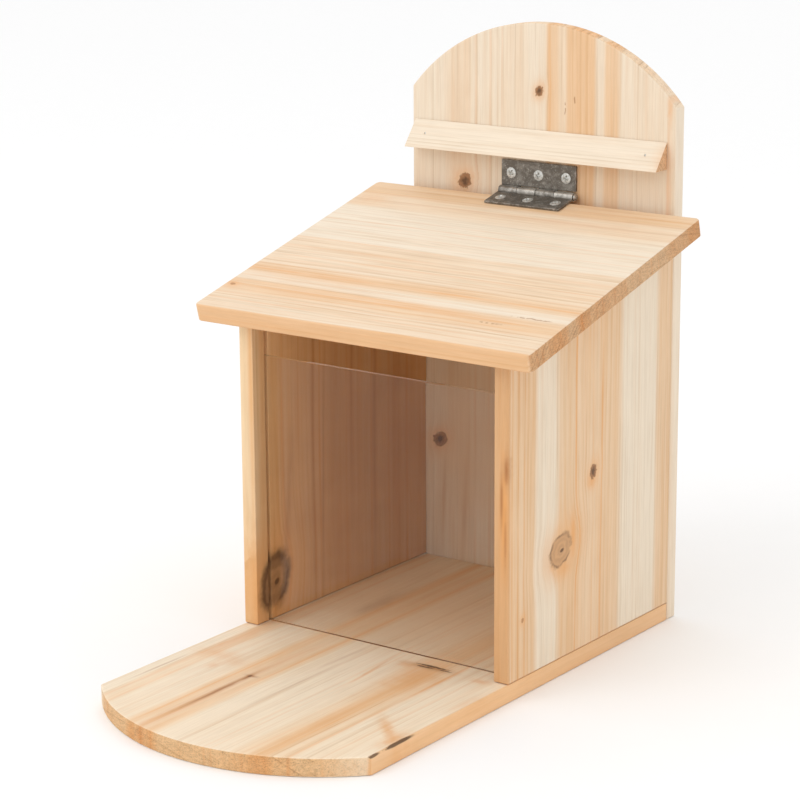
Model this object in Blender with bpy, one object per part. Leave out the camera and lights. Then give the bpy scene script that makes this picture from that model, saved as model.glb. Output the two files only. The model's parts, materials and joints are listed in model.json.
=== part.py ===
"""A wooden squirrel feeder: an open-topped feeding house with a hinged lid, a clear
front pane, a long landing board with a rounded front, and an arched back board.

X runs to the right, Y to the back and Z up. The origin is the middle of the footprint,
at the bottom of the boards. All lengths are in metres. Pieces that rest on each other
keep a small gap, so that each one is a closed solid of its own.
"""

import math

import bmesh
import bpy
from mathutils import Matrix, Vector

# Driving dimensions
GAP = 0.0003
HOUSE_WIDTH = 0.176
WALL_THICKNESS = 0.009
BACK_THICKNESS = 0.009
BASE_THICKNESS = 0.010
LID_THICKNESS = 0.010
WALL_DEPTH = 0.1635
LANDING_LENGTH = 0.1195
LANDING_ARC_RISE = 0.038
BACK_CORNER_HEIGHT = 0.2925
BACK_ARCH_RISE = 0.041
EASED_EDGE = 0.0008

LID_SLOPE = math.radians(14.4)
LID_LENGTH = 0.175
LID_OVERHANG = 0.0205
LID_CORNER_RADIUS = 0.003
LID_SETBACK = 0.0072
LID_BACK_HEIGHT = 0.2353

STRIP_LENGTH = 0.1685
STRIP_SHIFT = -0.0015
STRIP_HEIGHT = 0.0156
STRIP_DEPTH = 0.0121
STRIP_BOTTOM = 0.2585

PANE_THICKNESS = 0.0025
PANE_HEIGHT = 0.152
PANE_SETBACK = 0.0107
GROOVE_DEPTH = 0.003

HINGE_WIDTH = 0.050
HINGE_LEAF_REACH = 0.0173
HINGE_LEAF_THICKNESS = 0.0012
KNUCKLE_COUNT = 4
KNUCKLE_RADIUS = 0.0026
PIN_RADIUS = 0.0012
PIN_HEAD_RADIUS = 0.0021
PIN_HEAD_HEIGHT = 0.0014

HINGE_SCREW_SPACING = 0.0184
HINGE_SCREW_OFFSET = 0.0099
HINGE_SCREW_LENGTH = 0.009
BOARD_SCREW_LENGTH = 0.025
SCREW_HEAD_RADIUS = 0.0031
SCREW_SHANK_RADIUS = 0.0015
SCREW_HEAD_RISE = 0.0004
RECESS_WIDTH = 0.0009
RECESS_REACH = 0.0018
RECESS_DEPTH = 0.0009

BRAD_RADIUS = 0.0006
BRAD_LENGTH = 0.0135
BRAD_INSET = 0.0105
BRAD_SUNK = 0.0004

# Places worked out from the dimensions above
DEPTH = LANDING_ARC_RISE + LANDING_LENGTH + WALL_DEPTH + BACK_THICKNESS
REAR_Y = DEPTH / 2
BOARD_Y = REAR_Y - BACK_THICKNESS
WALL_FRONT_Y = BOARD_Y - WALL_DEPTH
LANDING_CORNER_Y = WALL_FRONT_Y - LANDING_LENGTH
PANE_FRONT_Y = WALL_FRONT_Y + PANE_SETBACK
PANE_BACK_Y = PANE_FRONT_Y + PANE_THICKNESS
FLOOR_Z = BASE_THICKNESS + GAP
HALF_WIDTH = HOUSE_WIDTH / 2
INNER_HALF_WIDTH = HALF_WIDTH - WALL_THICKNESS

LEAF_LIFT = GAP + HINGE_LEAF_THICKNESS
PIN_Y = BOARD_Y - GAP - KNUCKLE_RADIUS


def lid_top_z(y):
    """Height of the closed lid's upper face at depth y."""
    return LID_BACK_HEIGHT + (y - (BOARD_Y - LID_SETBACK)) * math.tan(LID_SLOPE)


PIN_Z = lid_top_z(PIN_Y) + LEAF_LIFT / math.cos(LID_SLOPE)
PIN_AXIS = Vector((0.0, PIN_Y, PIN_Z))
LID_TURN = Matrix.Rotation(LID_SLOPE, 4, "X")
LID_BACK_REACH = (LID_SETBACK - GAP - KNUCKLE_RADIUS) / math.cos(LID_SLOPE) \
    + LEAF_LIFT * math.tan(LID_SLOPE)

ALONG = {"X": Vector((1, 0, 0)), "Y": Vector((0, 1, 0)), "Z": Vector((0, 0, 1))}


def clear_scene():
    """Remove every object of the scene that the script starts in."""
    for thing in list(bpy.data.objects):
        bpy.data.objects.remove(thing, do_unlink=True)


def material(name, colour, roughness, metallic=0.0, alpha=1.0):
    """A plain Principled material."""
    made = bpy.data.materials.new(name)
    made.use_nodes = True
    shader = made.node_tree.nodes["Principled BSDF"]
    shader.inputs["Base Color"].default_value = (*colour, 1.0)
    shader.inputs["Roughness"].default_value = roughness
    shader.inputs["Metallic"].default_value = metallic
    shader.inputs["Alpha"].default_value = alpha
    return made


def add_object(name, mesh, look=None, place=Matrix()):
    """Link a mesh to the scene as an object at the given place."""
    thing = bpy.data.objects.new(name, mesh)
    bpy.context.scene.collection.objects.link(thing)
    thing.matrix_world = place
    if look and not mesh.materials:
        mesh.materials.append(look)
    return thing


def point_in(axis, across, up, along):
    """The 3D point of an outline's (across, up) at a distance along the given axis."""
    if axis == "X":
        return Vector((along, across, up))
    if axis == "Y":
        return Vector((across, along, up))
    return Vector((across, up, along))


def prism_mesh(name, outline, axis, start, end):
    """A flat outline pushed along an axis from start to end, as a closed mesh."""
    shape = bmesh.new()
    corners = [shape.verts.new(point_in(axis, u, v, start)) for u, v in outline]
    cap = shape.faces.new(corners)
    pushed = bmesh.ops.extrude_face_region(shape, geom=[cap])
    moved = [item for item in pushed["geom"] if isinstance(item, bmesh.types.BMVert)]
    bmesh.ops.translate(shape, verts=moved, vec=ALONG[axis] * (end - start))
    bmesh.ops.recalc_face_normals(shape, faces=shape.faces[:])
    mesh = bpy.data.meshes.new(name)
    shape.to_mesh(mesh)
    shape.free()
    return mesh


def box_outline(low_u, high_u, low_v, high_v):
    """The four corners of a rectangle."""
    return [(low_u, low_v), (high_u, low_v), (high_u, high_v), (low_u, high_v)]


def arc_points(start, end, rise, steps):
    """Points on the arc from start to end that bulges by rise to its right-hand side."""
    first = Vector(start)
    last = Vector(end)
    chord = last - first
    half = chord.length / 2
    radius = (half * half + rise * rise) / (2 * rise)
    side = Vector((chord.y, -chord.x)).normalized()
    centre = (first + last) / 2 - side * (radius - rise)
    spread = math.asin(half / radius)
    points = []
    for step in range(steps + 1):
        angle = -spread + 2 * spread * step / steps
        offset = side * math.cos(angle) + chord.normalized() * math.sin(angle)
        points.append(tuple(centre + offset * radius))
    return points


def ease_edges(thing, width=EASED_EDGE):
    """Break a board's sharp edges a little, as sanding does."""
    bevel = thing.modifiers.new("eased_edges", "BEVEL")
    bevel.width = width
    bevel.segments = 2
    bevel.limit_method = "ANGLE"
    bevel.angle_limit = math.radians(40)


def cut(thing, tool, operation="DIFFERENCE"):
    """Cut a tool object from a piece, or join it on, and keep the tool out of sight."""
    tool.hide_render = True
    tool.display_type = "WIRE"
    boolean = thing.modifiers.new(tool.name, "BOOLEAN")
    boolean.operation = operation
    boolean.solver = "EXACT"
    boolean.object = tool


def turned_object(name, profile, steps, look=None, place=Matrix()):
    """Turn a profile of (radius, height) points, top to bottom, around its own Z axis."""
    mesh = bpy.data.meshes.new(name)
    points = [(radius, 0.0, height) for radius, height in profile]
    edges = [(index, index + 1) for index in range(len(points) - 1)]
    mesh.from_pydata(points, edges, [])
    thing = add_object(name, mesh, look, place)
    screw = thing.modifiers.new("turned", "SCREW")
    screw.axis = "Z"
    screw.steps = steps
    screw.render_steps = steps
    screw.use_merge_vertices = True
    screw.merge_threshold = 0.00001
    return thing


def facing(point, direction):
    """The place at a point whose own Z axis looks along a direction."""
    turn = Vector(direction).to_track_quat("Z", "Y").to_matrix().to_4x4()
    return Matrix.Translation(Vector(point)) @ turn


# Boards


def make_base_board(look):
    """The floor of the house, which runs on forwards as a landing board with a round front."""
    left_corner = (-HALF_WIDTH, LANDING_CORNER_Y)
    right_corner = (HALF_WIDTH, LANDING_CORNER_Y)
    outline = arc_points(left_corner, right_corner, LANDING_ARC_RISE, 28)
    outline += [(HALF_WIDTH, BOARD_Y - GAP), (-HALF_WIDTH, BOARD_Y - GAP)]
    mesh = prism_mesh("base_board", outline, "Z", 0.0, BASE_THICKNESS)
    base = add_object("base_board", mesh, look)
    ease_edges(base)
    return base


def make_wall(name, side, look):
    """A side wall: square at the bottom, sloped along the lid at the top, with a pane groove."""
    drop = (LID_THICKNESS + GAP) / math.cos(LID_SLOPE)
    outline = [
        (WALL_FRONT_Y, FLOOR_Z),
        (BOARD_Y - GAP, FLOOR_Z),
        (BOARD_Y - GAP, lid_top_z(BOARD_Y - GAP) - drop),
        (WALL_FRONT_Y, lid_top_z(WALL_FRONT_Y) - drop),
    ]
    mesh = prism_mesh(name, outline, "X", side * INNER_HALF_WIDTH, side * HALF_WIDTH)
    wall = add_object(name, mesh, look)
    ease_edges(wall)
    groove_outline = box_outline(
        PANE_FRONT_Y - GAP, PANE_BACK_Y + GAP, FLOOR_Z - 0.001, BACK_CORNER_HEIGHT)
    groove_floor = side * (INNER_HALF_WIDTH + GROOVE_DEPTH)
    groove_mesh = prism_mesh(
        name + "_groove", groove_outline, "X", side * (INNER_HALF_WIDTH - 0.001), groove_floor)
    cut(wall, add_object(name + "_groove", groove_mesh))
    return wall


def make_back_board(look):
    """The tall back board with its arched top."""
    left_corner = (-HALF_WIDTH, BACK_CORNER_HEIGHT)
    right_corner = (HALF_WIDTH, BACK_CORNER_HEIGHT)
    outline = arc_points(right_corner, left_corner, BACK_ARCH_RISE, 32)
    outline += [(-HALF_WIDTH, 0.0), (HALF_WIDTH, 0.0)]
    mesh = prism_mesh("back_board", outline, "Y", BOARD_Y, REAR_Y)
    back = add_object("back_board", mesh, look)
    ease_edges(back)
    return back


def make_rain_strip(look):
    """The three-sided strip that keeps rain out of the hinge."""
    face_y = BOARD_Y - GAP
    outline = [
        (face_y, STRIP_BOTTOM),
        (face_y, STRIP_BOTTOM + STRIP_HEIGHT),
        (face_y - STRIP_DEPTH, STRIP_BOTTOM),
    ]
    half = STRIP_LENGTH / 2
    mesh = prism_mesh("rain_strip", outline, "X", STRIP_SHIFT - half, STRIP_SHIFT + half)
    strip = add_object("rain_strip", mesh, look)
    ease_edges(strip, EASED_EDGE / 2)
    return strip


def rounded_rectangle(half_width, low, high, radius, steps):
    """A rectangle whose four corners are quarter circles."""
    points = []
    corners = [
        (half_width - radius, low + radius, -90),
        (half_width - radius, high - radius, 0),
        (-half_width + radius, high - radius, 90),
        (-half_width + radius, low + radius, 180),
    ]
    for centre_u, centre_v, first_angle in corners:
        for step in range(steps + 1):
            angle = math.radians(first_angle + 90 * step / steps)
            points.append((centre_u + radius * math.cos(angle), centre_v + radius * math.sin(angle)))
    return points


def make_lid(look, hinge_place):
    """The sloping lid, made flat in the hinge's own frame, where the pin lies along X."""
    outline = rounded_rectangle(
        HALF_WIDTH + LID_OVERHANG, -LID_BACK_REACH - LID_LENGTH, -LID_BACK_REACH,
        LID_CORNER_RADIUS, 4)
    mesh = prism_mesh("roof_lid", outline, "Z", -LEAF_LIFT - LID_THICKNESS, -LEAF_LIFT)
    lid = add_object("roof_lid", mesh, look, hinge_place)
    ease_edges(lid)
    return lid


def make_pane(look):
    """The clear pane, which stands on the floor in the grooves of the walls."""
    half = INNER_HALF_WIDTH + GROOVE_DEPTH - GAP
    outline = box_outline(-half, half, FLOOR_Z, FLOOR_Z + PANE_HEIGHT)
    mesh = prism_mesh("window_pane", outline, "Y", PANE_FRONT_Y, PANE_BACK_Y)
    pane = add_object("window_pane", mesh, look)
    ease_edges(pane, 0.0002)
    return pane


# Hinge


def circle_outline(radius, steps):
    """Points around a circle about the origin."""
    turns = [2 * math.pi * (step + 0.5) / steps for step in range(steps)]
    return [(radius * math.cos(turn), radius * math.sin(turn)) for turn in turns]


def make_leaf(name, knuckles, plate_low, look, place):
    """One hinge leaf in the hinge's frame: a plate along -Y whose knuckles turn round the pin.

    plate_low is the height of the plate's lower face against the pin's axis.
    """
    clear_of_knuckles = KNUCKLE_RADIUS + 2 * GAP
    plate_outline = box_outline(
        -HINGE_LEAF_REACH, -clear_of_knuckles, plate_low, plate_low + HINGE_LEAF_THICKNESS)
    plate = prism_mesh(name, plate_outline, "X", -HINGE_WIDTH / 2, HINGE_WIDTH / 2)
    leaf = add_object(name, plate, look, place)
    ease_edges(leaf, 0.0002)
    knuckle_width = HINGE_WIDTH / KNUCKLE_COUNT
    for index in knuckles:
        left = -HINGE_WIDTH / 2 + index * knuckle_width + GAP / 2
        right = left + knuckle_width - GAP
        tab_outline = box_outline(
            -clear_of_knuckles - 0.0005, 0.0, plate_low, plate_low + HINGE_LEAF_THICKNESS)
        tab = prism_mesh(f"{name}_tab_{index}", tab_outline, "X", left, right)
        barrel = prism_mesh(
            f"{name}_barrel_{index}", circle_outline(KNUCKLE_RADIUS, 24), "X", left, right)
        cut(leaf, add_object(tab.name, tab, None, place), "UNION")
        cut(leaf, add_object(barrel.name, barrel, None, place), "UNION")
    bore = prism_mesh(
        name + "_bore", circle_outline(PIN_RADIUS + GAP, 16), "X", -HINGE_WIDTH, HINGE_WIDTH)
    cut(leaf, add_object(name + "_bore", bore, None, place))
    return leaf


def make_pin(look):
    """The hinge pin, with one domed head at its right-hand end."""
    end = HINGE_WIDTH / 2
    head = PIN_HEAD_HEIGHT
    profile = [
        (0.0, end + GAP + head),
        (PIN_HEAD_RADIUS * 0.55, end + GAP + head * 0.88),
        (PIN_HEAD_RADIUS * 0.88, end + GAP + head * 0.5),
        (PIN_HEAD_RADIUS, end + GAP),
        (PIN_RADIUS, end + GAP),
        (PIN_RADIUS, -end),
        (0.0, -end),
    ]
    return turned_object("hinge_pin", profile, 16, look, facing(PIN_AXIS, (1, 0, 0)))


# Screws


def screw_profile(length):
    """Countersunk screw, top to bottom, with its head's rim at height 0."""
    cone = SCREW_HEAD_RADIUS - SCREW_SHANK_RADIUS
    return [
        (0.0, SCREW_HEAD_RISE),
        (SCREW_HEAD_RADIUS * 0.75, SCREW_HEAD_RISE * 0.85),
        (SCREW_HEAD_RADIUS, SCREW_HEAD_RISE * 0.25),
        (SCREW_HEAD_RADIUS, 0.0),
        (SCREW_SHANK_RADIUS, -cone),
        (SCREW_SHANK_RADIUS, -length + 2 * SCREW_SHANK_RADIUS),
        (0.0, -length),
    ]


def hole_profile(length):
    """The clearance hole of a screw, a gap wider than the screw all round."""
    radius = SCREW_SHANK_RADIUS + GAP
    rim = SCREW_HEAD_RADIUS + GAP
    return [
        (0.0, 0.002),
        (rim, 0.002),
        (rim, 0.0),
        (radius, radius - rim),
        (radius, -length - GAP),
        (0.0, -length - GAP),
    ]


def make_screw(name, seat, outward, length, look, boards):
    """A cross-head screw whose rim sits at seat, with its hole cut in every board it passes."""
    place = facing(seat, outward)
    screw = turned_object(name, screw_profile(length), 16, look, place)
    half = RECESS_WIDTH / 2
    arm = [(RECESS_REACH, -half), (RECESS_REACH, half), (half, half)]
    outline = []
    for quarter in range(4):
        turn = Matrix.Rotation(math.radians(90 * quarter), 2)
        outline += [tuple(turn @ Vector(point)) for point in arm]
    recess = prism_mesh(name + "_recess", outline, "Z", SCREW_HEAD_RISE - RECESS_DEPTH, 0.002)
    cut(screw, add_object(recess.name, recess, None, place))
    hole = turned_object(name + "_hole", hole_profile(length), 16, None, place)
    for board in boards:
        cut(board, hole)
    return screw


def make_hinge_screws(back, back_leaf, lid, lid_leaf, hinge_place, look):
    """Three screws through each leaf, seated on the leaf's outer face."""
    for index in range(3):
        x = (index - 1) * HINGE_SCREW_SPACING
        seat = Vector((x, BOARD_Y - LEAF_LIFT, PIN_Z + HINGE_SCREW_OFFSET))
        make_screw(
            f"back_leaf_screw_{index + 1}", seat, (0, -1, 0), HINGE_SCREW_LENGTH, look,
            [back_leaf, back])
        seat = hinge_place @ Vector((x, -HINGE_SCREW_OFFSET, 0.0))
        outward = hinge_place.to_3x3() @ Vector((0, 0, 1))
        make_screw(
            f"lid_leaf_screw_{index + 1}", seat, outward, HINGE_SCREW_LENGTH, look,
            [lid_leaf, lid])


def make_board_screws(base, walls, back, look):
    """The screws that hold the boards together, from below and from behind, heads sunk flush."""
    sunk = SCREW_HEAD_RISE + GAP
    for side_name, side in (("left", -1), ("right", 1)):
        wall = walls[side_name]
        middle_x = side * (HALF_WIDTH - WALL_THICKNESS / 2)
        for index, share in enumerate((0.2, 0.8)):
            y = WALL_FRONT_Y + WALL_DEPTH * share
            make_screw(
                f"{side_name}_wall_base_screw_{index + 1}", (middle_x, y, sunk), (0, 0, -1),
                BOARD_SCREW_LENGTH, look, [base, wall])
        for index, height in enumerate((0.045, 0.120, 0.195)):
            make_screw(
                f"{side_name}_wall_back_screw_{index + 1}", (middle_x, REAR_Y - sunk, height),
                (0, 1, 0), BOARD_SCREW_LENGTH, look, [back, wall])
        make_screw(
            f"{side_name}_base_back_screw", (side * 0.045, REAR_Y - sunk, BASE_THICKNESS / 2),
            (0, 1, 0), BOARD_SCREW_LENGTH, look, [back, base])


def make_strip_brads(strip, back, look):
    """A headless brad near each end, driven through the strip into the back board."""
    face_y = BOARD_Y - GAP - STRIP_DEPTH / 2
    for side_name, side in (("left", -1), ("right", 1)):
        place = Matrix.Translation((
            STRIP_SHIFT + side * (STRIP_LENGTH / 2 - BRAD_INSET), face_y,
            STRIP_BOTTOM + STRIP_HEIGHT / 2))
        shank = prism_mesh(
            "brad", circle_outline(BRAD_RADIUS, 12), "Y", BRAD_SUNK, BRAD_SUNK + BRAD_LENGTH)
        add_object(f"{side_name}_strip_brad", shank, look, place)
        hole_mesh = prism_mesh(
            "brad_hole", circle_outline(BRAD_RADIUS + GAP, 12), "Y", -STRIP_DEPTH,
            BRAD_SUNK + BRAD_LENGTH + GAP)
        hole = add_object(f"{side_name}_brad_hole", hole_mesh, None, place)
        cut(strip, hole)
        cut(back, hole)


def main():
    """Build the whole feeder."""
    clear_scene()
    pale_pine = material("pale_pine", (0.80, 0.62, 0.41), 0.6)
    warm_pine = material("warm_pine", (0.76, 0.53, 0.32), 0.6)
    clear_acrylic = material("clear_acrylic", (0.93, 0.95, 0.95), 0.05, alpha=0.3)
    antique_steel = material("antique_steel", (0.20, 0.18, 0.15), 0.45, metallic=0.9)
    zinc_steel = material("zinc_steel", (0.66, 0.66, 0.64), 0.3, metallic=1.0)

    hinge_place = Matrix.Translation(PIN_AXIS) @ LID_TURN
    base = make_base_board(warm_pine)
    walls = {
        "left": make_wall("left_wall", -1, pale_pine),
        "right": make_wall("right_wall", 1, pale_pine),
    }
    back = make_back_board(pale_pine)
    strip = make_rain_strip(pale_pine)
    lid = make_lid(warm_pine, hinge_place)
    make_pane(clear_acrylic)

    upright = Matrix.Translation(PIN_AXIS) @ Matrix.Rotation(math.radians(-90), 4, "X")
    back_leaf = make_leaf(
        "hinge_back_leaf", (0, 2), KNUCKLE_RADIUS - HINGE_LEAF_THICKNESS, antique_steel, upright)
    lid_leaf = make_leaf(
        "hinge_lid_leaf", (1, 3), -HINGE_LEAF_THICKNESS, antique_steel, hinge_place)
    make_pin(antique_steel)
    make_hinge_screws(back, back_leaf, lid, lid_leaf, hinge_place, zinc_steel)
    make_board_screws(base, walls, back, zinc_steel)
    make_strip_brads(strip, back, zinc_steel)


main()
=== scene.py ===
"""Squirrel feeder: a small pine house with a landing board, a clear pane and a lid that lifts."""

import json
import math

import bmesh
import bpy
import numpy as np
from bpy.props import FloatProperty, FloatVectorProperty, IntProperty, PointerProperty
from mathutils import Matrix, Vector


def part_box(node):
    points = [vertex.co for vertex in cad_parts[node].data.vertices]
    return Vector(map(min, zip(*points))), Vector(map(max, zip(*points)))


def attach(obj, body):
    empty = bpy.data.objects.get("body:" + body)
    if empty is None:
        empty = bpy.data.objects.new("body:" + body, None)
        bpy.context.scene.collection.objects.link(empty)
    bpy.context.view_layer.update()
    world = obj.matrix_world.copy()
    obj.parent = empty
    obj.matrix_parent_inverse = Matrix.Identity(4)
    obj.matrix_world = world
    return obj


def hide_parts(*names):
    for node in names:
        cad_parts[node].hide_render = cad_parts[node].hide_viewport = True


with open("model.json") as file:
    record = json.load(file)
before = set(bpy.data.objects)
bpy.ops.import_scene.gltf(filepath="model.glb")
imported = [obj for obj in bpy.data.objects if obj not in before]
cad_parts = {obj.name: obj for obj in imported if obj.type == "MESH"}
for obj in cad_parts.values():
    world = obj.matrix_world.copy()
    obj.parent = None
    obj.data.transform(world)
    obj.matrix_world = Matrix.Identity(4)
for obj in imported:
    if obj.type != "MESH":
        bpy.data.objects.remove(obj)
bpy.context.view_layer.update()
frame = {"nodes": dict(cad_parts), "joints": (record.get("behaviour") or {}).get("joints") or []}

bl_info = {
    "name": "Squirrel Feeder",
    "version": (1, 0, 0),
    "blender": (4, 5, 0),
    "location": "View3D > Sidebar > Feeder",
    "description": "Builds a pine squirrel feeder with a hinged lid and a lifting pane",
    "category": "Add Mesh",
}

MM = 0.001
LEAF_SCREWS_ACROSS = (-18.4, 0.0, 18.4)  # millimetres from the hinge's middle
LEAF_SCREWS_FROM_PIN = 9.9 * MM
LEAF_SCREW_LENGTH = 9 * MM
BOARD_SCREW_LENGTH = 25 * MM
WALL_SCREW_HEIGHTS = (45, 120, 195)  # millimetres above the ground
THREAD_PITCH = 1.35 * MM
KNUCKLE_SWEEP = math.radians(351)  # a knuckle's sheet stops just short of a full turn
SCREW_CLEARANCE = 0.15 * MM
BASE_SCREWS_ALONG_WALL = (0.2, 0.8)  # as shares of the wall's depth
BASE_SCREWS_FROM_MIDDLE = 45 * MM
SHARP_TURN = 0.3  # radians, above which an outline's corner is rounded
SMOOTH_ANGLE = 38.0  # degrees, up to which faces are shaded as one
SEAM = 2e-6  # metres, within which points are one
SLIVER = 1e-7
RAMP_LINES = 10  # resin lines in one colour ramp, which holds 32 stops

# Fixed places of the feeder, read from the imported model
BASE_LOW, BASE_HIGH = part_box("base_board")
WALL_LOW, WALL_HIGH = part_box("right_wall")
BACK_LOW, BACK_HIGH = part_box("back_board")
STRIP_LOW, STRIP_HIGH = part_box("rain_strip")
PANE_LOW, PANE_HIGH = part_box("window_pane")
LID_HINGE = next(joint for joint in frame["joints"] if joint["name"] == "lid_hinge")
PIN = Vector(LID_HINGE["pos_m"])


# Sizes and colours that a user may change


def in_mm(name, description, value, **limits):
    """A length whose default is given in millimetres."""
    return FloatProperty(
        name=name, description=description, default=value * MM, unit="LENGTH", **limits)


def in_degrees(name, description, value):
    """An angle whose default is given in degrees."""
    return FloatProperty(
        name=name, description=description, default=math.radians(value),
        subtype="ANGLE", unit="ROTATION")


def in_watts(name, description, value):
    """A lamp's power."""
    return FloatProperty(name=name, description=description, default=value, unit="POWER")


def as_share(name, description, value):
    """A strength from 0 to 1."""
    return FloatProperty(
        name=name, description=description, default=value, min=0, max=1, subtype="FACTOR")


def as_colour(name, description, value):
    """A colour in linear values."""
    return FloatVectorProperty(
        name=name, description=description, default=value, min=0, max=1, subtype="COLOR")


class FeederBoardSizes(bpy.types.PropertyGroup):
    """Sizes of the sawn and sanded boards."""

    eased_edge: in_mm("Eased edge", "Radius that sanding leaves on a board's edges", 0.8)
    strip_edge: in_mm("Strip edge", "Radius on the rain strip's long edges", 0.5)
    lid_corner: in_mm("Lid corner", "Radius of the lid's four corners seen from above", 3)
    lid_slope: in_degrees("Lid slope", "Fall of the closed lid towards the front", 14.4)
    lid_length: in_mm("Lid length", "Length of the lid down its slope", 175)
    lid_thickness: in_mm("Lid thickness", "Thickness of the lid board", 10)
    lid_gap: in_mm("Lid gap", "Clearance between the lid and the walls under it", 0.3)
    landing_round: in_mm("Landing round", "How far the landing board's front bows out", 38)
    arch_height: in_mm("Arch height", "How far the back board's top bows up", 41)
    groove_depth: in_mm("Groove depth", "Depth of the grooves that hold the pane", 3)
    pane_edge: in_mm("Pane edge", "Radius of the pane's polished edges", 0.2)


class FeederHardwareSizes(bpy.types.PropertyGroup):
    """Sizes of the hinge, screws and brads."""

    leaf_reach: in_mm("Leaf reach", "From the pin's axis to a leaf's outer edge", 17.3)
    leaf_thickness: in_mm("Leaf thickness", "Thickness of the hinge's sheet steel", 1.2)
    hinge_width: in_mm("Hinge width", "Length of the hinge along its pin", 50)
    knuckle_radius: in_mm("Knuckle radius", "Outer radius of the curled knuckles", 2.6)
    knuckle_count: IntProperty(
        name="Knuckles", description="Number of knuckles on both leaves together",
        default=4, min=3, max=7)
    pin_radius: in_mm("Pin radius", "Radius of the hinge pin", 1.2)
    head_radius: in_mm("Screw head", "Radius of a screw's countersunk head", 3.1)
    shank_radius: in_mm("Screw shank", "Radius over the screw's threads", 1.5)
    head_rise: in_mm("Head rise", "Height of the head's shallow dome", 0.4)
    recess_depth: in_mm("Recess depth", "Depth of the cross recess below the dome", 1.0)
    gap: in_mm("Clearance", "Clearance between neighbouring pieces", 0.3)


class FeederTones(bpy.types.PropertyGroup):
    """Colours of the wood and the metal."""

    sapwood: as_colour("Sapwood", "Palest cream bands", (0.835, 0.72, 0.575))
    # The heartwood tone also paints shade inside the box and on the landing's front
    heartwood: as_colour("Heartwood", "Pinkish tan bands", (0.795, 0.535, 0.315))
    resin: as_colour("Resin", "Orange resin in lines and round knots", (0.76, 0.36, 0.12))
    knot: as_colour("Knot", "Light brown of a sound knot", (0.60, 0.34, 0.165))
    # The stain tone also paints shade over the inside face of the left wall
    stain: as_colour("Stain", "Reddish brown of grain soaked with resin", (0.40, 0.165, 0.055))
    bark: as_colour("Bark", "Dark brown of loose knots and bark", (0.088, 0.042, 0.019))
    dark_steel: as_colour("Dark steel", "Antique finish of the hinge", (0.150, 0.132, 0.110))
    worn_steel: as_colour(
        "Worn steel", "Where the hinge's finish has rubbed thin", (0.56, 0.53, 0.48))


class FeederGrain(bpy.types.PropertyGroup):
    """Scale and strength of the wood's figure."""

    ring_spacing: FloatProperty(
        name="Ring spacing", description="Distance between growth rings, in millimetres",
        default=3.1, min=0.5, max=12)
    ring_strength: as_share("Ring strength", "How dark the latewood lines are", 0.5)
    fibre_strength: as_share("Fibre strength", "How strongly the fine fibres show", 0.5)
    wander: FloatProperty(
        name="Wander", description="How far the grain strays from straight, in millimetres",
        default=2.6, min=0, max=20)


class FeederStudio(bpy.types.PropertyGroup):
    """The camera, the lights and the floor."""

    azimuth: in_degrees("Azimuth", "Camera's turn to the right of straight on", 35.934)
    elevation: in_degrees("Elevation", "Camera's height as an angle", 14.263)
    roll: in_degrees("Roll", "Small tilt of the camera about its own axis", -0.3715)
    distance: in_mm("Distance", "From the camera to the point it looks at", 1405.8)
    aim: FloatVectorProperty(
        name="Aim", description="Point that the camera looks at", default=(0.0109, 0.0047, 0.1499),
        subtype="XYZ", unit="LENGTH")
    lens: FloatProperty(
        name="Lens", description="Focal length in millimetres", default=119.8, unit="CAMERA")
    surround: as_share("Surround", "Strength of the white studio all round", 1.0)
    key_power: in_watts("Key light", "Power of the soft light above the front, in watts", 11.0)
    side_power: in_watts("Side light", "Power of the soft light on the right, in watts", 0.2)
    floor_tone: as_colour("Floor", "Colour of the floor", (0.975, 0.975, 0.975))


# Meshes from whole arrays


def walk_outline(corners, radius, steps):
    """Walk anticlockwise round a closed outline and give what each point needs to move inwards.

    A sharp outer corner becomes an arc of the radius: its centre lies inside the corner by the
    radius times the mitre, and its points leave that centre along directions that turn evenly
    from one side's normal to the next. Every other corner stays one point. The mitre is the sum
    of the two inward normals over one plus their product.
    """
    corners = np.asarray(corners, float)
    leaving = np.roll(corners, -1, 0) - corners
    leaving /= np.linalg.norm(leaving, axis=1, keepdims=True)
    arriving = np.roll(leaving, 1, 0)
    normal_in = np.stack([arriving[:, 1], -arriving[:, 0]], 1)
    normal_out = np.stack([leaving[:, 1], -leaving[:, 0]], 1)
    cross = arriving[:, 0] * leaving[:, 1] - arriving[:, 1] * leaving[:, 0]
    turn = np.arctan2(cross, np.sum(arriving * leaving, 1))
    mitre = -(normal_in + normal_out) / (1 + np.sum(normal_in * normal_out, 1))[:, None]
    counts = np.where(turn > SHARP_TURN, steps + 1, 1)
    radii = np.where(turn > SHARP_TURN, radius, 0.0)
    which = np.repeat(np.arange(len(corners)), counts)
    step = np.arange(len(which)) - np.repeat(np.cumsum(counts) - counts, counts)
    share = np.where(counts[which] > 1, step / np.maximum(counts[which] - 1, 1), 0.5)
    angle = np.arctan2(normal_in[:, 1], normal_in[:, 0])[which] + share * turn[which]
    outward = np.stack([np.cos(angle), np.sin(angle)], 1)
    centre = corners[which] + radii[which, None] * mitre[which]
    return centre, outward, mitre[which], radii[which]


def grid_quads(rows, columns):
    """Quads between the rows of a grid whose columns close on themselves, facing outwards."""
    row, column = np.meshgrid(np.arange(rows - 1), np.arange(columns), indexing="ij")
    after = (column + 1) % columns
    quads = [row * columns + column, (row + 1) * columns + column,
             (row + 1) * columns + after, row * columns + after]
    return np.stack(quads, -1).reshape(-1, 4)


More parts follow.
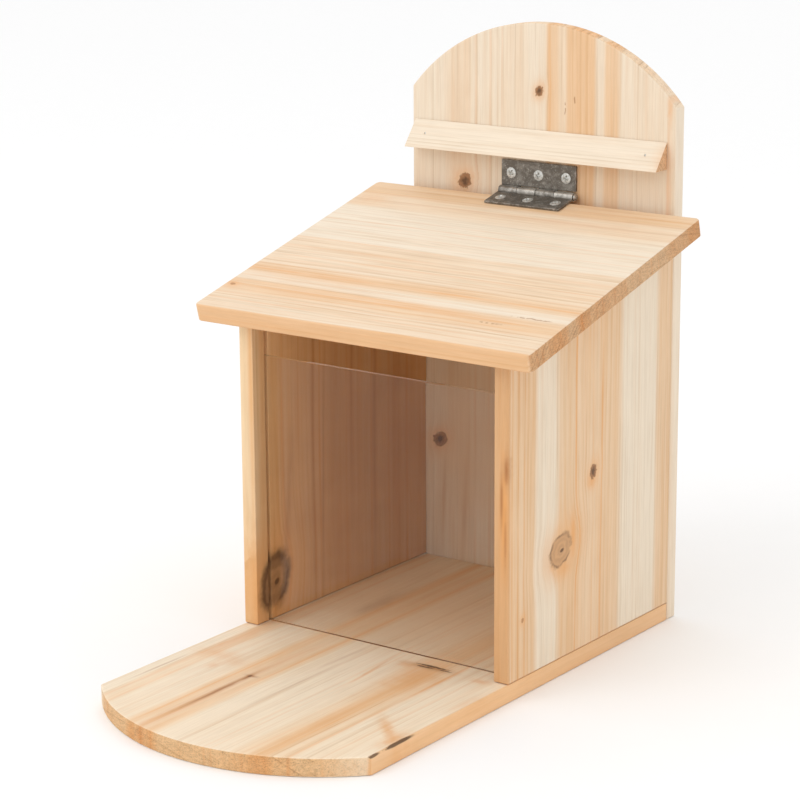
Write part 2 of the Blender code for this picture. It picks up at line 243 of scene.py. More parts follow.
def add_piece(name, points, faces, smooth_angle=SMOOTH_ANGLE, attributes=()):
    """Put points and faces in a new object, close its seams and shade it by angle."""
    mesh = bpy.data.meshes.new(name)
    mesh.from_pydata(points.tolist(), [], faces)
    for label, values in dict(attributes).items():
        layer = mesh.attributes.new(label, "FLOAT", "POINT")
        layer.data.foreach_set("value", values.astype(np.float32))
    shape = bmesh.new()
    shape.from_mesh(mesh)
    bmesh.ops.remove_doubles(shape, verts=shape.verts[:], dist=SEAM)
    bmesh.ops.dissolve_degenerate(shape, edges=shape.edges[:], dist=SLIVER)
    shape.to_mesh(mesh)
    shape.free()
    mesh.shade_smooth()
    mesh.set_sharp_from_angle(angle=math.radians(smooth_angle))
    piece = bpy.data.objects.new(name, mesh)
    bpy.context.scene.collection.objects.link(piece)
    return piece


def placed(points, place):
    """Points moved by a 4x4 matrix, all at once."""
    matrix = np.array(place)
    return points @ matrix[:3, :3].T + matrix[:3, 3]


def sawn_board(name, outline, low, high, place=Matrix(), corner=0.8 * MM, edge=0.8 * MM,
               steps=5, grain=(0, 0, 1)):
    """A board: the profile of its edge carried round its outline, and a flat on each side.

    The outline lies in the first two axes, the thickness along the third, from low to high,
    where high may be a function of the outline's points. The profile runs from the upper flat
    through a quarter round of radius edge, where the inset is edge times one minus sine and the
    drop is edge times one minus cosine, down the side, and through the same round backwards.
    """
    centre, outward, mitre, radii = walk_outline(outline, corner, steps)
    bow = np.linspace(0, math.pi / 2, steps + 1)
    inset = edge * (1 - np.sin(bow))
    drop = edge * (1 - np.cos(bow))
    margin = 0.6 * edge
    inset = np.concatenate([[edge + margin], inset, [0.0]])
    drop = np.concatenate([[0.0], drop, [edge + margin]])
    facing = np.concatenate([[0.0], np.sin(bow), [1.0]])
    round_about = np.maximum(radii[None, :, None] - inset[:, None, None], 0) * outward[None]
    beyond = np.maximum(inset[:, None, None] - radii[None, :, None], 0) * mitre[None]
    flat = centre[None] + round_about + beyond
    top = high(flat) if callable(high) else np.full(flat.shape[:2], high)
    upper = np.concatenate([flat, (top - drop[:, None])[..., None]], 2)
    bottom = np.broadcast_to((low + drop)[:, None, None], flat.shape[:2] + (1,))
    lower = np.concatenate([flat, bottom], 2)
    points = np.concatenate([upper, lower[::-1]])
    rows, columns = points.shape[:2]
    side = np.concatenate([facing, facing[::-1]])
    lift = np.concatenate([np.cos(np.arcsin(facing)), -np.cos(np.arcsin(facing[::-1]))])
    along = outward @ np.asarray(grain, float)[:2]
    end_grain = (side[:, None] * along[None] + lift[:, None] * grain[2]) ** 2
    rubbed = np.concatenate([4 * facing * (1 - facing), 4 * facing[::-1] * (1 - facing[::-1])])
    faces = grid_quads(rows, columns).tolist()
    faces.append(list(range(columns)))
    faces.append(list(range((rows - 1) * columns, rows * columns))[::-1])
    return add_piece(
        name, placed(points.reshape(-1, 3), place), faces,
        attributes={"end_grain": end_grain.ravel(), "rubbed": np.repeat(rubbed, columns)})


def turned_piece(name, radius, height, place, steps=48, shift=None, smooth_angle=SMOOTH_ANGLE):
    """A profile of radii and heights turned round the third axis, closed at its two poles.

    A shift, if given, is a grid of small height changes, one for each profile point and angle.
    """
    turn = np.linspace(0, 2 * math.pi, steps, endpoint=False)
    radius = np.asarray(radius, float)
    if radius.ndim == 1:
        radius = np.repeat(radius[:, None], steps, 1)
    height = np.repeat(np.asarray(height, float)[:, None], steps, 1)
    if shift is not None:
        height = height + shift
    points = np.stack([radius * np.cos(turn), radius * np.sin(turn), height], -1)
    rows = len(radius)
    return add_piece(name, placed(points.reshape(-1, 3), place),
                     grid_quads(rows, steps).tolist(), smooth_angle)


def carved(piece, tools, kind="DIFFERENCE"):
    """Cut closed tool shapes from a piece, or join them to it, and throw the tools away."""
    for tool in tools:
        change = piece.modifiers.new(tool.name, "BOOLEAN")
        change.operation = kind
        change.solver = "EXACT"
        change.object = tool
    graph = bpy.context.evaluated_depsgraph_get()
    finished = bpy.data.meshes.new_from_object(
        piece.evaluated_get(graph), preserve_all_data_layers=True, depsgraph=graph)
    piece.modifiers.clear()
    old, piece.data = piece.data, finished
    finished.name = piece.name
    bpy.data.meshes.remove(old)
    for tool in tools:
        mesh = tool.data
        bpy.data.objects.remove(tool)
        bpy.data.meshes.remove(mesh)
    piece.data.set_sharp_from_angle(angle=math.radians(SMOOTH_ANGLE))
    return piece


def bow_points(start, end, rise, steps):
    """Points on the arc from start to end that bulges by rise to the right of the way.

    The circle's radius is half the chord squared plus the rise squared, over twice the rise.
    """
    start, end = np.asarray(start, float), np.asarray(end, float)
    chord = end - start
    length = np.linalg.norm(chord)
    way = chord / length
    side = np.array([way[1], -way[0]])
    radius = (length ** 2 / 4 + rise ** 2) / (2 * rise)
    spread = math.asin(length / 2 / radius)
    angle = np.linspace(-spread, spread, steps + 1)[:, None]
    centre = (start + end) / 2 - side * (radius - rise)
    return centre + radius * (np.cos(angle) * side + np.sin(angle) * way)


def facing_place(seat, outward):
    """The place at a seat whose own third axis looks outwards."""
    turn = Vector(outward).to_track_quat("Z", "Y").to_matrix().to_4x4()
    return Matrix.Translation(Vector(seat)) @ turn


def finish_piece(piece, body, node, look):
    """Give a piece its look, let it ride on its body and stand for its CAD node."""
    piece.data.materials.clear()
    piece.data.materials.append(look)
    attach(piece, body)
    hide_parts(node)


# Finishes


class Wire:
    """One value in a finish, so that sums and products read as arithmetic."""

    def __init__(self, finish, socket):
        self.finish = finish
        self.socket = socket

    def sum_with(self, kind, first, second):
        return self.finish.node("ShaderNodeMath", {"operation": kind}, [first, second])

    def __add__(self, other):
        return self.sum_with("ADD", self, other)

    def __radd__(self, other):
        return self.sum_with("ADD", other, self)

    def __sub__(self, other):
        return self.sum_with("SUBTRACT", self, other)

    def __rsub__(self, other):
        return self.sum_with("SUBTRACT", other, self)

    def __mul__(self, other):
        return self.sum_with("MULTIPLY", self, other)

    def __rmul__(self, other):
        return self.sum_with("MULTIPLY", other, self)

    def __truediv__(self, other):
        return self.sum_with("DIVIDE", self, other)

    def __rtruediv__(self, other):
        return self.sum_with("DIVIDE", other, self)

    def __pow__(self, other):
        return self.sum_with("POWER", self, other)

    def __rpow__(self, other):
        return self.sum_with("POWER", other, self)

    def __neg__(self):
        return self.sum_with("MULTIPLY", self, -1.0)


class Finish:
    """A material while it is being wired up."""

    def __init__(self, name):
        self.material = bpy.data.materials.new(name)
        self.material.use_nodes = True
        self.tree = self.material.node_tree
        self.tree.nodes.clear()

    def made(self, kind, settings=(), inputs=()):
        """Add a node: its type, its settings, then its inputs by name or by place."""
        made = self.tree.nodes.new(kind)
        for label, value in dict(settings).items():
            setattr(made, label, value)
        pairs = inputs.items() if isinstance(inputs, dict) else enumerate(inputs)
        for key, value in pairs:
            if isinstance(value, Wire):
                self.tree.links.new(value.socket, made.inputs[key])
            else:
                made.inputs[key].default_value = value
        return made

    def node(self, kind, settings=(), inputs=(), out=0):
        """Add a node and give one of its outputs."""
        return Wire(self, self.made(kind, settings, inputs).outputs[out])

    def noise(self, where, scale=1.0, detail=2.0, rough=0.5):
        """Smooth noise from 0 to 1."""
        return self.node("ShaderNodeTexNoise", {"noise_dimensions": "3D"},
                         {"Vector": where, "Scale": scale, "Detail": detail, "Roughness": rough})

    def vector(self, x, y, z):
        return self.node("ShaderNodeCombineXYZ", (), [x, y, z])

    def field(self, x, y, z, detail=2.0, rough=0.5):
        """Smooth noise from 0 to 1 at a place given by its three parts."""
        return self.noise(self.vector(x, y, z), 1.0, detail, rough)

    def step(self, value, low, high):
        """Rise smoothly from 0 at low to 1 at high."""
        if low < high:
            return self.node(
                "ShaderNodeMapRange", {"interpolation_type": "SMOOTHSTEP"},
                {"Value": value, "From Min": low, "From Max": high})
        return 1.0 - self.step(value, high, low)

    def bell(self, value, width):
        """A bell curve: e to minus the square of value over width."""
        share = value / width
        return math.e ** (-(share * share))

    def clamp(self, value):
        return self.node("ShaderNodeClamp", (), [value, 0.0, 1.0])

    def mix(self, share, first, second, blend="MIX"):
        """Mix two colours."""
        first, second = [
            (*tone, 1.0) if isinstance(tone, (tuple, list)) and len(tone) == 3 else tone
            for tone in (first, second)]
        return self.node(
            "ShaderNodeMix", {"data_type": "RGBA", "blend_type": blend, "clamp_factor": True},
            {0: share, 6: first, 7: second}, out=2)

    def ramp(self, share, stops):
        """A straight colour ramp through (place, colour) stops."""
        made = self.made("ShaderNodeValToRGB", (), [share])
        elements = made.color_ramp.elements
        while len(elements) < len(stops):
            elements.new(0.5)
        for element, (place, tone) in zip(elements, stops):
            element.position = place
            element.color = (*tone, 1.0)
        return Wire(self, made.outputs[0])

    def parts(self, vector):
        """The three parts of a vector or colour."""
        return [Wire(self, output)
                for output in self.made("ShaderNodeSeparateXYZ", (), [vector]).outputs]

    def end(self, shader):
        """Wire the shader to the output and give the material."""
        self.made("ShaderNodeOutputMaterial", (), {"Surface": shader})
        return self.material


# Tones that stay inside the wood's figure, as linear values
TAN_LINE = (0.63, 0.48, 0.30)
CHECK = (0.34, 0.15, 0.055)
DARK_KNOT = (0.42, 0.20, 0.085)
PIN_KNOT = (0.36, 0.15, 0.05)


def feeder_tones():
    """The tones as plain tuples, by name."""
    tones = bpy.context.scene.feeder_tones
    return {label: tuple(getattr(tones, label)) for label in tones.__annotations__}


class Pine(Finish):
    """Planed pine, worked out in the solid so that faces, edges and ends agree.

    Its values a, t and l are millimetres across, through and along the board; axes says which of
    the board's own axes these are, with a minus sign where they run backwards. The grain wanders:
    a is moved by slow and quick noise, while straight is the place across before that.
    """

    def __init__(self, name, axes, origin, turn, seed):
        super().__init__(name)
        self.tones = feeder_tones()
        self.grain = bpy.context.scene.feeder_grain
        self.seed = seed
        place = self.node("ShaderNodeTexCoord", out=3)
        place = self.node("ShaderNodeMapping", {"vector_type": "TEXTURE"}, {
            "Vector": place, "Location": origin, "Rotation": (turn, 0, 0), "Scale": (MM, MM, MM)})
        own = dict(zip("xyz", self.parts(place)))
        a, t, l = [own[axis[-1]] * -1.0 if axis[0] == "-" else own[axis[-1]] for axis in axes]
        self.straight, self.t, self.l = a, t, l
        self.slow = self.field(a / 55.0 + seed, t / 40.0, l / 130.0, detail=1.0) - 0.5
        quick = self.field(a / 9.0 + seed, t / 9.0, l / 38.0) - 0.5
        self.a = a + self.slow * self.grain.wander + quick * 0.7

    def bend_round(self, knots):
        """Push the grain aside by a bell round each knot, and measure how far each knot is.

        The distance from a knot counts 1 at its rim and is made ragged by noise.
        """
        spots = []
        for across, along, half_a, half_l, kind in knots:
            size = (half_a + half_l) * 0.22
            ragged = self.field(
                self.straight / size + self.seed, self.t / 9.0, self.l / size + across) - 0.5
            off_a, off_l = (self.straight - across) / half_a, (self.l - along) / half_l
            off_l = off_l - off_a * 0.22
            away = (off_a * off_a + off_l * off_l) ** 0.5
            away = away + ragged * (0.42 if kind in ("sound", "old") else 0.95)
            near = self.bell(away, 1.7)
            self.a = self.a - (self.a - across) * (near * 0.75)
            spots.append((away, kind, off_a, off_l))
        return spots

    def latewood(self, pith, spacing):
        """The dark end of each growth ring, from 0 to 1.

        Rings are circles about the pith: the distance from it over the spacing, bent by noise,
        gives the ring's number. Its fraction rises slowly through the pale wood and drops at the
        dark line, and every ring is dark by its own luck.
        """
        pith_a, pith_t = pith
        out_a, out_t = self.a - pith_a, self.t - pith_t
        reach = (out_a * out_a + out_t * out_t) ** 0.5
        uneven = self.field(reach / 14.0, self.seed, 0.0, detail=1.0)
        count = reach / (self.grain.ring_spacing * spacing) + uneven * 3.0
        ring = self.node("ShaderNodeMath", {"operation": "FLOOR"}, [count])
        part = self.node("ShaderNodeMath", {"operation": "FRACT"}, [count])
        luck = self.node(
            "ShaderNodeTexWhiteNoise", {"noise_dimensions": "1D"}, {"W": ring + self.seed})
        profile = ((0.0, 0.0), (0.04, 0.02), (0.50, 0.06), (0.80, 0.45), (0.92, 1.0), (0.97, 0.85),
                   (1.0, 0.0))
        late, _, _ = self.parts(self.ramp(part, [(at, (dark,) * 3) for at, dark in profile]))
        late = late * (luck * luck * 0.85 + 0.15)
        fading = self.field(self.a / 16.0 + self.seed, self.t / 12.0, self.l / 75.0, detail=1.0)
        return late * self.step(fading, 0.22, 0.62)

    def resin_lines(self, lines, share, low, high):
        """Single resin lines at set places across the board, each a peak in a ramp."""
        broken = self.field(
            self.straight / 20.0, self.t / 20.0, self.l / 45.0 + self.seed, detail=1.0)
        resin = 0.0
        for start in range(0, len(lines), RAMP_LINES):
            peaks = [(low, 0.0)]
            for at, width, strength in lines[start:start + RAMP_LINES]:
                peaks += [(at - width, 0.0), (at, strength), (at + width, 0.0)]
            line, _, _ = self.parts(self.ramp(
                share, [((at - low) / (high - low), (strength,) * 3) for at, strength in peaks]))
            resin = resin + line * self.step(broken, 0.2, 0.6)
        return resin

    def smeared(self, tone, smears):
        """Resin smears, dark bark and broad blankets of painted shade, each a torn, slanted bell in
        the plane of the board.
        """
        dark = 0.0
        for across, along, half_a, half_l, slant, strength, colour, *depth in smears:
            tear = 2.4 if colour == "bark" and half_l < half_a else 0.9
            torn = self.field(
                self.straight / max(min(half_a, half_l * 3.0) * 0.9, 1.2) + across, self.t / 5.0,
                self.l / max(half_l * 0.3, 3.0) + self.seed, detail=3.0)
            moved = self.straight + self.slow * self.grain.wander - across
            off_a = (moved - (self.l - along) * slant) / half_a + (torn - 0.5) * 1.1
            off_l = (self.l - along) / half_l + (torn - 0.5) * tear
            cover = self.bell((off_a * off_a + off_l * off_l) ** 0.5, 1.0)
            if depth:
                middle, half_depth = depth
                cover = cover * self.bell(self.t - middle, half_depth)
            if colour == "bark":
                cover = self.step(cover * (torn * 0.9 + 0.55), 0.26, 0.66)
                dark = dark + cover
            tone = self.mix(cover * strength, tone, self.tones[colour])
        return tone, dark

    def knotted(self, tone, spots):
        """Knots: an orange halo, a ringed heart, a dark rim and centre.

        A sound knot is light brown and an old one dark, both with rings; a dark knot is small and
        nearly black inside, and a pin knot is a mere dot.
        """
        resin, bark = self.tones["resin"], self.tones["bark"]
        for away, kind, off_a, off_l in spots:
            halo = self.bell(away, 1.75 if kind != "pin" else 2.6)
            tone = self.mix(halo * (0.60 if kind != "pin" else 0.5), tone, resin)
            inside = self.step(away, 1.10, 0.86)
            if kind == "pin":
                tone = self.mix(inside * 0.62, tone, PIN_KNOT)
                continue
            swirl = self.field(off_a * 1.4, off_l * 1.4, self.seed + 3.0, detail=3.0)
            rings = self.node("ShaderNodeMath", {"operation": "SINE"}, [away * 15.0 + swirl * 9.0])
            rim = self.bell(away - 0.97, 0.24 if kind == "old" else 0.10)
            rim = rim * self.step(swirl, 0.25, 0.60)
            if kind == "dark":
                body = self.mix(self.clamp(rings * 0.10 + swirl * 0.9 - 0.18), DARK_KNOT, bark)
                tone = self.mix(inside * 0.93, tone, body)
                tone = self.mix(rim * 0.4 + self.step(away, 0.85, 0.15) * 0.78, tone, bark)
                continue
            core_a, core_l = off_a - 0.12, off_l + 0.08
            core = self.step((core_a * core_a + core_l * core_l * 2.2) ** 0.5, 0.24, 0.10)
            age = 0.72 if kind == "old" else 0.0
            body = self.mix(
                self.clamp(rings * 0.08 + swirl * (0.30 + age) - 0.04), self.tones["knot"], bark)
            tone = self.mix(inside * 0.88, tone, body)
            tone = self.mix(rim * (0.60 + age * 0.2) + core * 0.85, tone, bark)
        return tone

    def checked(self, tone, dark, cracks):
        """Fine brown checks along the grain, frayed and broken by noise."""
        for across, along, half_a, half_l, slant in cracks:
            off_l = self.l - along
            fray = self.field(self.l / 5.0 + across, self.t / 4.0, self.seed) - 0.5
            off_a = (self.straight - across - off_l * slant + fray * 2.4) / half_a
            ends = self.step(off_l * off_l, half_l ** 2, (half_l * 0.6) ** 2)
            split = self.bell(off_a, 1.0) * ends
            gaps = self.field(self.l / 3.2 + across * 1.7, self.seed, self.t / 3.0)
            split = split * self.step(gaps, 0.38, 0.52)
            tone = self.mix(split * 0.75, tone, CHECK)
            dark = dark + split * 0.4
        return tone, dark


def pine(name, axes, bands, lines=(), knots=(), smears=(), cracks=(), origin=(0, 0, 0), turn=0.0,
         pith=(-150.0, -70.0), spacing=1.0, seed=0.0, figure=1.0, end_tint=(0.86, 0.66, 0.49),
         tint=(1.0, 1.0, 1.0)):
    """The pine of one board, with all its places in millimetres.

    Bands are (across, tone) stops. Lines are (across, half width, strength). Knots are (across,
    along, half width, half length, kind). Smears are (across, along, half width, half length,
    slant, strength, tone's name) and may add a middle and half depth; cracks are the first five.
    """
    f = Pine(name, axes, origin, turn, seed)
    strength = f.grain.ring_strength
    spots = f.bend_round(knots)
    a, t, l = f.a, f.t, f.l
    low, high = bands[0][0], bands[-1][0]
    share = (a - low) / (high - low)
    heart, orange, dull = f.parts(
        f.ramp(share, [((at - low) / (high - low), tone) for at, tone in bands]))
    late = f.latewood(pith, spacing)

    # Streaks and fibres
    streak = f.field(a / 2.6 + seed, t / 7.0, l / 85.0) - 0.5
    broad = f.field(a / 8.0, t / 16.0 + seed, l / 150.0) - 0.5
    thread = f.field(a / 1.0, t / 2.4, l / 48.0 + seed, rough=0.6) - 0.5
    fibre = f.field(a / 0.5, t / 0.5, l / 12.0 + seed, detail=3.0, rough=0.65) - 0.5
    cloud = f.field(a / 12.0, t / 12.0, l / 22.0 + seed) - 0.5

    # Pale sapwood to tan heartwood, with lines of latewood and resin
    heart = f.clamp(heart + streak * 0.50 + broad * 0.55 + thread * 0.22 + late * 0.10)
    tone = f.mix(heart, f.tones["sapwood"], f.tones["heartwood"])
    orange = orange + late * strength * figure * (heart * 0.62 + 0.16)
    orange = orange + f.clamp(streak + cloud * 0.4) * 0.50 * (heart * 0.8 + 0.2)
    tan_line = f.clamp(late * 0.75 + thread * 1.1) * (1.0 - heart * 0.6)
    tone = f.mix(tan_line * strength * 1.5 * figure, tone, TAN_LINE)
    if lines:
        orange = orange + f.resin_lines(lines, share, low, high)
    tone = f.mix(f.clamp(orange), tone, f.tones["resin"])
    shade = 1.0 - late * 0.09 - fibre * 0.32 * f.grain.fibre_strength - thread * 0.10 \
        - cloud * 0.07 - streak * 0.05 - dull * 0.25
    # The tint multiplies a whole board's colour; on the base it is painted light and on the side
    # walls painted shade
    tone = f.mix(1.0, tone, f.vector(*[shade * part for part in tint]), "MULTIPLY")
    tone, dark = f.smeared(tone, smears)
    tone = f.knotted(tone, spots)
    tone, dark = f.checked(tone, dark, cracks)

    # End grain is darker and pored
    end = f.node("ShaderNodeAttribute", {"attribute_name": "end_grain"}, out=2)
    end = f.step(end, 0.25, 0.75)
    pores = f.field(f.straight / 0.8, t / 0.7, l / 0.8, detail=3.0, rough=0.75)
    saw = f.field(f.straight / 6.0 + t / 2.5, t / 0.9 - f.straight / 2.8, seed, detail=3.0)
    open_grain = f.step(pores, 0.47, 0.66)
    end_shade = 1.06 - late * 0.26 + (saw - 0.5) * 0.46 - open_grain * 0.30
    end_tone = f.mix(1.0, tone, f.vector(*[end_shade * part for part in end_tint]), "MULTIPLY")
    tone = f.mix(end, tone, end_tone)

    rough = 0.56 + fibre * 0.22 - late * 0.10 + end * 0.22
    height = fibre * 0.34 - late * 0.30 + cloud * 0.2 - (open_grain + saw * 1.2) * end * 1.1
    height = height - dark * 1.5
    bump = f.node("ShaderNodeBump", (), {"Strength": 0.55, "Distance": 0.14 * MM, "Height": height})
    shader = f.node("ShaderNodeBsdfPrincipled", (), {
        "Base Color": tone, "Roughness": f.clamp(rough), "Specular IOR Level": 0.32,
        "Normal": bump})
    return f.end(shader)


def antique_steel(name, knuckles_worn):
    """Dark antique finish on sheet steel: cloudy, speckled, rubbed bright at edges and knuckles."""
    tones = feeder_tones()
    f = Finish(name)
    place = f.node("ShaderNodeTexCoord", out=3)
    clouds = f.noise(place, 260.0, 4.0, 0.62)
    specks = f.noise(place, 950.0, 3.0, 0.7)
    drawn = f.noise(f.node("ShaderNodeMapping", (), {"Vector": place, "Scale": (180, 2600, 2600)}))
    edge = f.node("ShaderNodeAttribute", {"attribute_name": "rubbed"}, out=2)
    _, y, z = f.parts(place)
    off_y, off_z = y - PIN.y, z - PIN.z
    away = (off_y * off_y + off_z * off_z) ** 0.5
    barrel = f.step(away, 3.1 * MM, 2.5 * MM)
    worn = f.step(clouds, 0.44, 0.66) * 0.26 + f.step(specks, 0.55, 0.68) * 0.42
    worn = worn - f.step(clouds, 0.46, 0.34) * 0.12
    worn = worn + edge * f.step(clouds, 0.34, 0.64) * 0.62
    worn = worn + barrel * (drawn * 0.6 + clouds * 0.5) * knuckles_worn
    tone = f.mix(f.clamp(worn), tones["dark_steel"], tones["worn_steel"])
    rusty = f.step(f.noise(place, 420.0, 3.0), 0.60, 0.72)
    tone = f.mix(rusty * 0.30, tone, (0.13, 0.075, 0.040))
    rough = 0.50 - worn * 0.18 + (clouds - 0.5) * 0.25
    bump = f.node("ShaderNodeBump", (), {
        "Strength": 0.5, "Distance": 0.05 * MM, "Height": clouds + specks * 0.6 + drawn * 0.3})
    shader = f.node("ShaderNodeBsdfPrincipled", (), {
        "Base Color": tone, "Roughness": f.clamp(rough), "Metallic": 0.62, "Normal": bump})
    return f.end(shader)


def zinc_steel(name):
    """Bright zinc plate with a faint warm cloud and fine turning marks."""
    f = Finish(name)
    place = f.node("ShaderNodeTexCoord", out=3)
    clouds = f.noise(place, 700.0, 3.0, 0.6)
    fine = f.noise(place, 3200.0, 2.0)
    tone = f.mix(f.step(clouds, 0.35, 0.70), (0.74, 0.75, 0.73), (0.46, 0.45, 0.41))
    rough = 0.34 + clouds * 0.22
    bump = f.node(
        "ShaderNodeBump", (), {"Strength": 0.35, "Distance": 0.03 * MM, "Height": fine + clouds})
    shader = f.node("ShaderNodeBsdfPrincipled", (), {
        "Base Color": tone, "Roughness": rough, "Metallic": 0.78, "Normal": bump})
    return f.end(shader)


def clear_acrylic(name):
    """Clear acrylic that bends and mirrors light, and lets lamplight through to the inside."""
    f = Finish(name)
    sheet = f.node("ShaderNodeBsdfPrincipled", (), {
        "Base Color": (0.985, 0.975, 0.965, 1.0), "Roughness": 0.0, "IOR": 1.24,
        "Transmission Weight": 1.0})
    clear = f.node("ShaderNodeBsdfTransparent", (), {"Color": (0.93, 0.925, 0.915, 1.0)})
    shadow = f.node("ShaderNodeLightPath", out=1)
    diffuse = f.node("ShaderNodeLightPath", out=2)
    through = f.node("ShaderNodeMath", {"operation": "MAXIMUM"}, [shadow, diffuse])
    return f.end(f.node("ShaderNodeMixShader", (), [through, sheet, clear]))


# Tones across the boards: place in millimetres, then heartwood, resin and dullness from 0 to 1

CREAM, PALE, BLUSH, TAN, PINK, AMBER, ORANGE = \
    (0.0, 0.0, 0.0), (0.12, 0.0, 0.0), (0.40, 0.0, 0.0), (0.76, 0.03, 0.0), (0.86, 0.0, 0.07), \
    (0.90, 0.10, 0.0), (1.0, 0.30, 0.08)


def banded(*spans):
    """Stops for a ramp from (start, end, tone) spans that leave soft joints between them."""
    stops = []
    for start, end, tone in spans:
        stops += [(start, tone), (end, tone)]
    return stops


# Pieces


def rectangle(low_u, high_u, low_v, high_v):
    return [(low_u, low_v), (high_u, low_v), (high_u, high_v), (low_u, high_v)]


class FEEDER_OT_base_board(bpy.types.Operator):
    """Build the floor that runs on forwards as a round-fronted landing board"""

    bl_idname = "feeder.base_board"
    bl_label = "Base Board"

    def execute(self, context):
        sizes = context.scene.feeder_boards
        corner_y = BASE_LOW.y + sizes.landing_round
        outline = list(bow_points(
            (BASE_LOW.x, corner_y), (BASE_HIGH.x, corner_y), sizes.landing_round, 72))
        outline += [(BASE_HIGH.x, BASE_HIGH.y), (BASE_LOW.x, BASE_HIGH.y)]
        piece = sawn_board("landing_and_floor", outline, BASE_LOW.z, BASE_HIGH.z,
                           corner=sizes.eased_edge, edge=sizes.eased_edge, grain=(0, 1, 0))
        look = pine(
            "pine_base", ("x", "z", "y"),
            banded((-88, -80, CREAM), (-77, -70, BLUSH), (-66, -46, PALE), (-41, -38, TAN),
                   (-36, -27, BLUSH), (-25, -22, TAN), (-17, -8, CREAM), (-2, 22, CREAM),
                   (31, 35, BLUSH), (38, 46, TAN), (50, 55, BLUSH), (60, 86.4, PALE),
                   (87.4, 88, ORANGE)),
            lines=[(-76, 1.2, 0.30), (-69, 1.2, 0.35), (-40, 1.1, 0.50), (-31, 0.8, 0.20),
                   (-23, 1.1, 0.50), (-3, 0.8, 0.18), (13, 1.0, 0.25), (17, 0.8, 0.30),
                   (34, 1.2, 0.30), (45, 1.0, 0.25), (56, 1.2, 0.50), (70, 1.0, 0.20)],
            smears=[(-73.5, -30, 4.0, 30, 0.0, 0.45, "resin"),
                    (-66, -56, 15, 6.0, 0.0, 0.34, "resin"),
                    (-52, -62, 8.0, 5.0, 0.0, 0.24, "resin"),
                    (-58, -71, 3.0, 5.0, 0.0, 0.42, "resin"),
                    (-80.5, -88, 0.7, 20, 0.02, 0.45, "stain"),
                    (-31.5, -40, 5.0, 36, 0.0, 0.30, "resin"),
                    (-31.5, -116, 5.5, 52, 0.0, 0.42, "resin"),
                    (-31.5, -140, 2.0, 34, 0.0, 0.60, "resin"),
                    (-31.5, -101, 1.5, 30, 0.0, 0.95, "stain"),
                    (-31.2, -75, 1.2, 5.0, 0.0, 0.90, "stain"),
                    (-30.2, -72.6, 3.2, 1.3, 0.0, 0.80, "stain"),
                    (-31.0, -73.2, 1.0, 1.6, 0.0, 0.70, "bark"),
                    (41, -24, 13, 24, -0.10, 0.55, "resin"),
                    (42, -100, 5.0, 60, 0.0, 0.38, "resin"),
                    (26, -11, 6.0, 4.5, 0.0, 0.55, "resin"),
                    (56, -26, 1.4, 22, 0.0, 0.55, "resin"),
                    (16, -30, 1.0, 20, -0.10, 0.55, "resin"),
                    (-8, -20, 1.4, 30, 0.03, 0.22, "stain"),
                    (40, -8.2, 12, 2.8, 0.0, 0.75, "stain"),
                    (40, -6.4, 10.5, 1.15, 0.0, 0.97, "bark"),
                    (36, -9.0, 6.0, 0.8, 0.0, 0.92, "bark"),
                    (49, -8.4, 4.0, 0.8, 0.0, 0.90, "bark"),
                    (73, -11, 5.0, 3.0, 0.0, 0.50, "resin"),
                    (84, -42, 2.6, 14, 0.0, 0.30, "resin"),
                    (74, -94, 4.4, 12, -0.95, 0.62, "resin"),
                    (84, -103, 4.0, 11, 0.0, 0.62, "resin"),
                    (88.0, -104, 1.6, 13, 0.0, 0.92, "bark", 9.8, 1.15),
                    (88.0, -126, 1.5, 6.0, 0.0, 0.90, "bark", 9.8, 1.0),
                    (88, 100, 1.0, 60, 0.0, 0.35, "knot"),
                    # Painted shade: broad heartwood blankets brown the floor inside the box and
                    # darken the landing towards its front
                    (0, 70, 80, 70, 0.0, 0.50, "heartwood"),
                    (0, -150, 110, 44, 0.0, 0.16, "heartwood"),
                    (-46, 62, 5.0, 26, 0.0, 0.35, "stain"),
                    (-4, -70, 0.8, 44, 0.01, 0.30, "stain")],
            pith=(-40, -130), spacing=1.15, seed=11.3,
            # Painted light: the tint brightens the whole base board, standing in for light on the
            # landing next to the house
            end_tint=(0.80, 0.61, 0.42), tint=(1.08, 1.075, 1.04))
        finish_piece(piece, "house", "base_board", look)
        return {"FINISHED"}


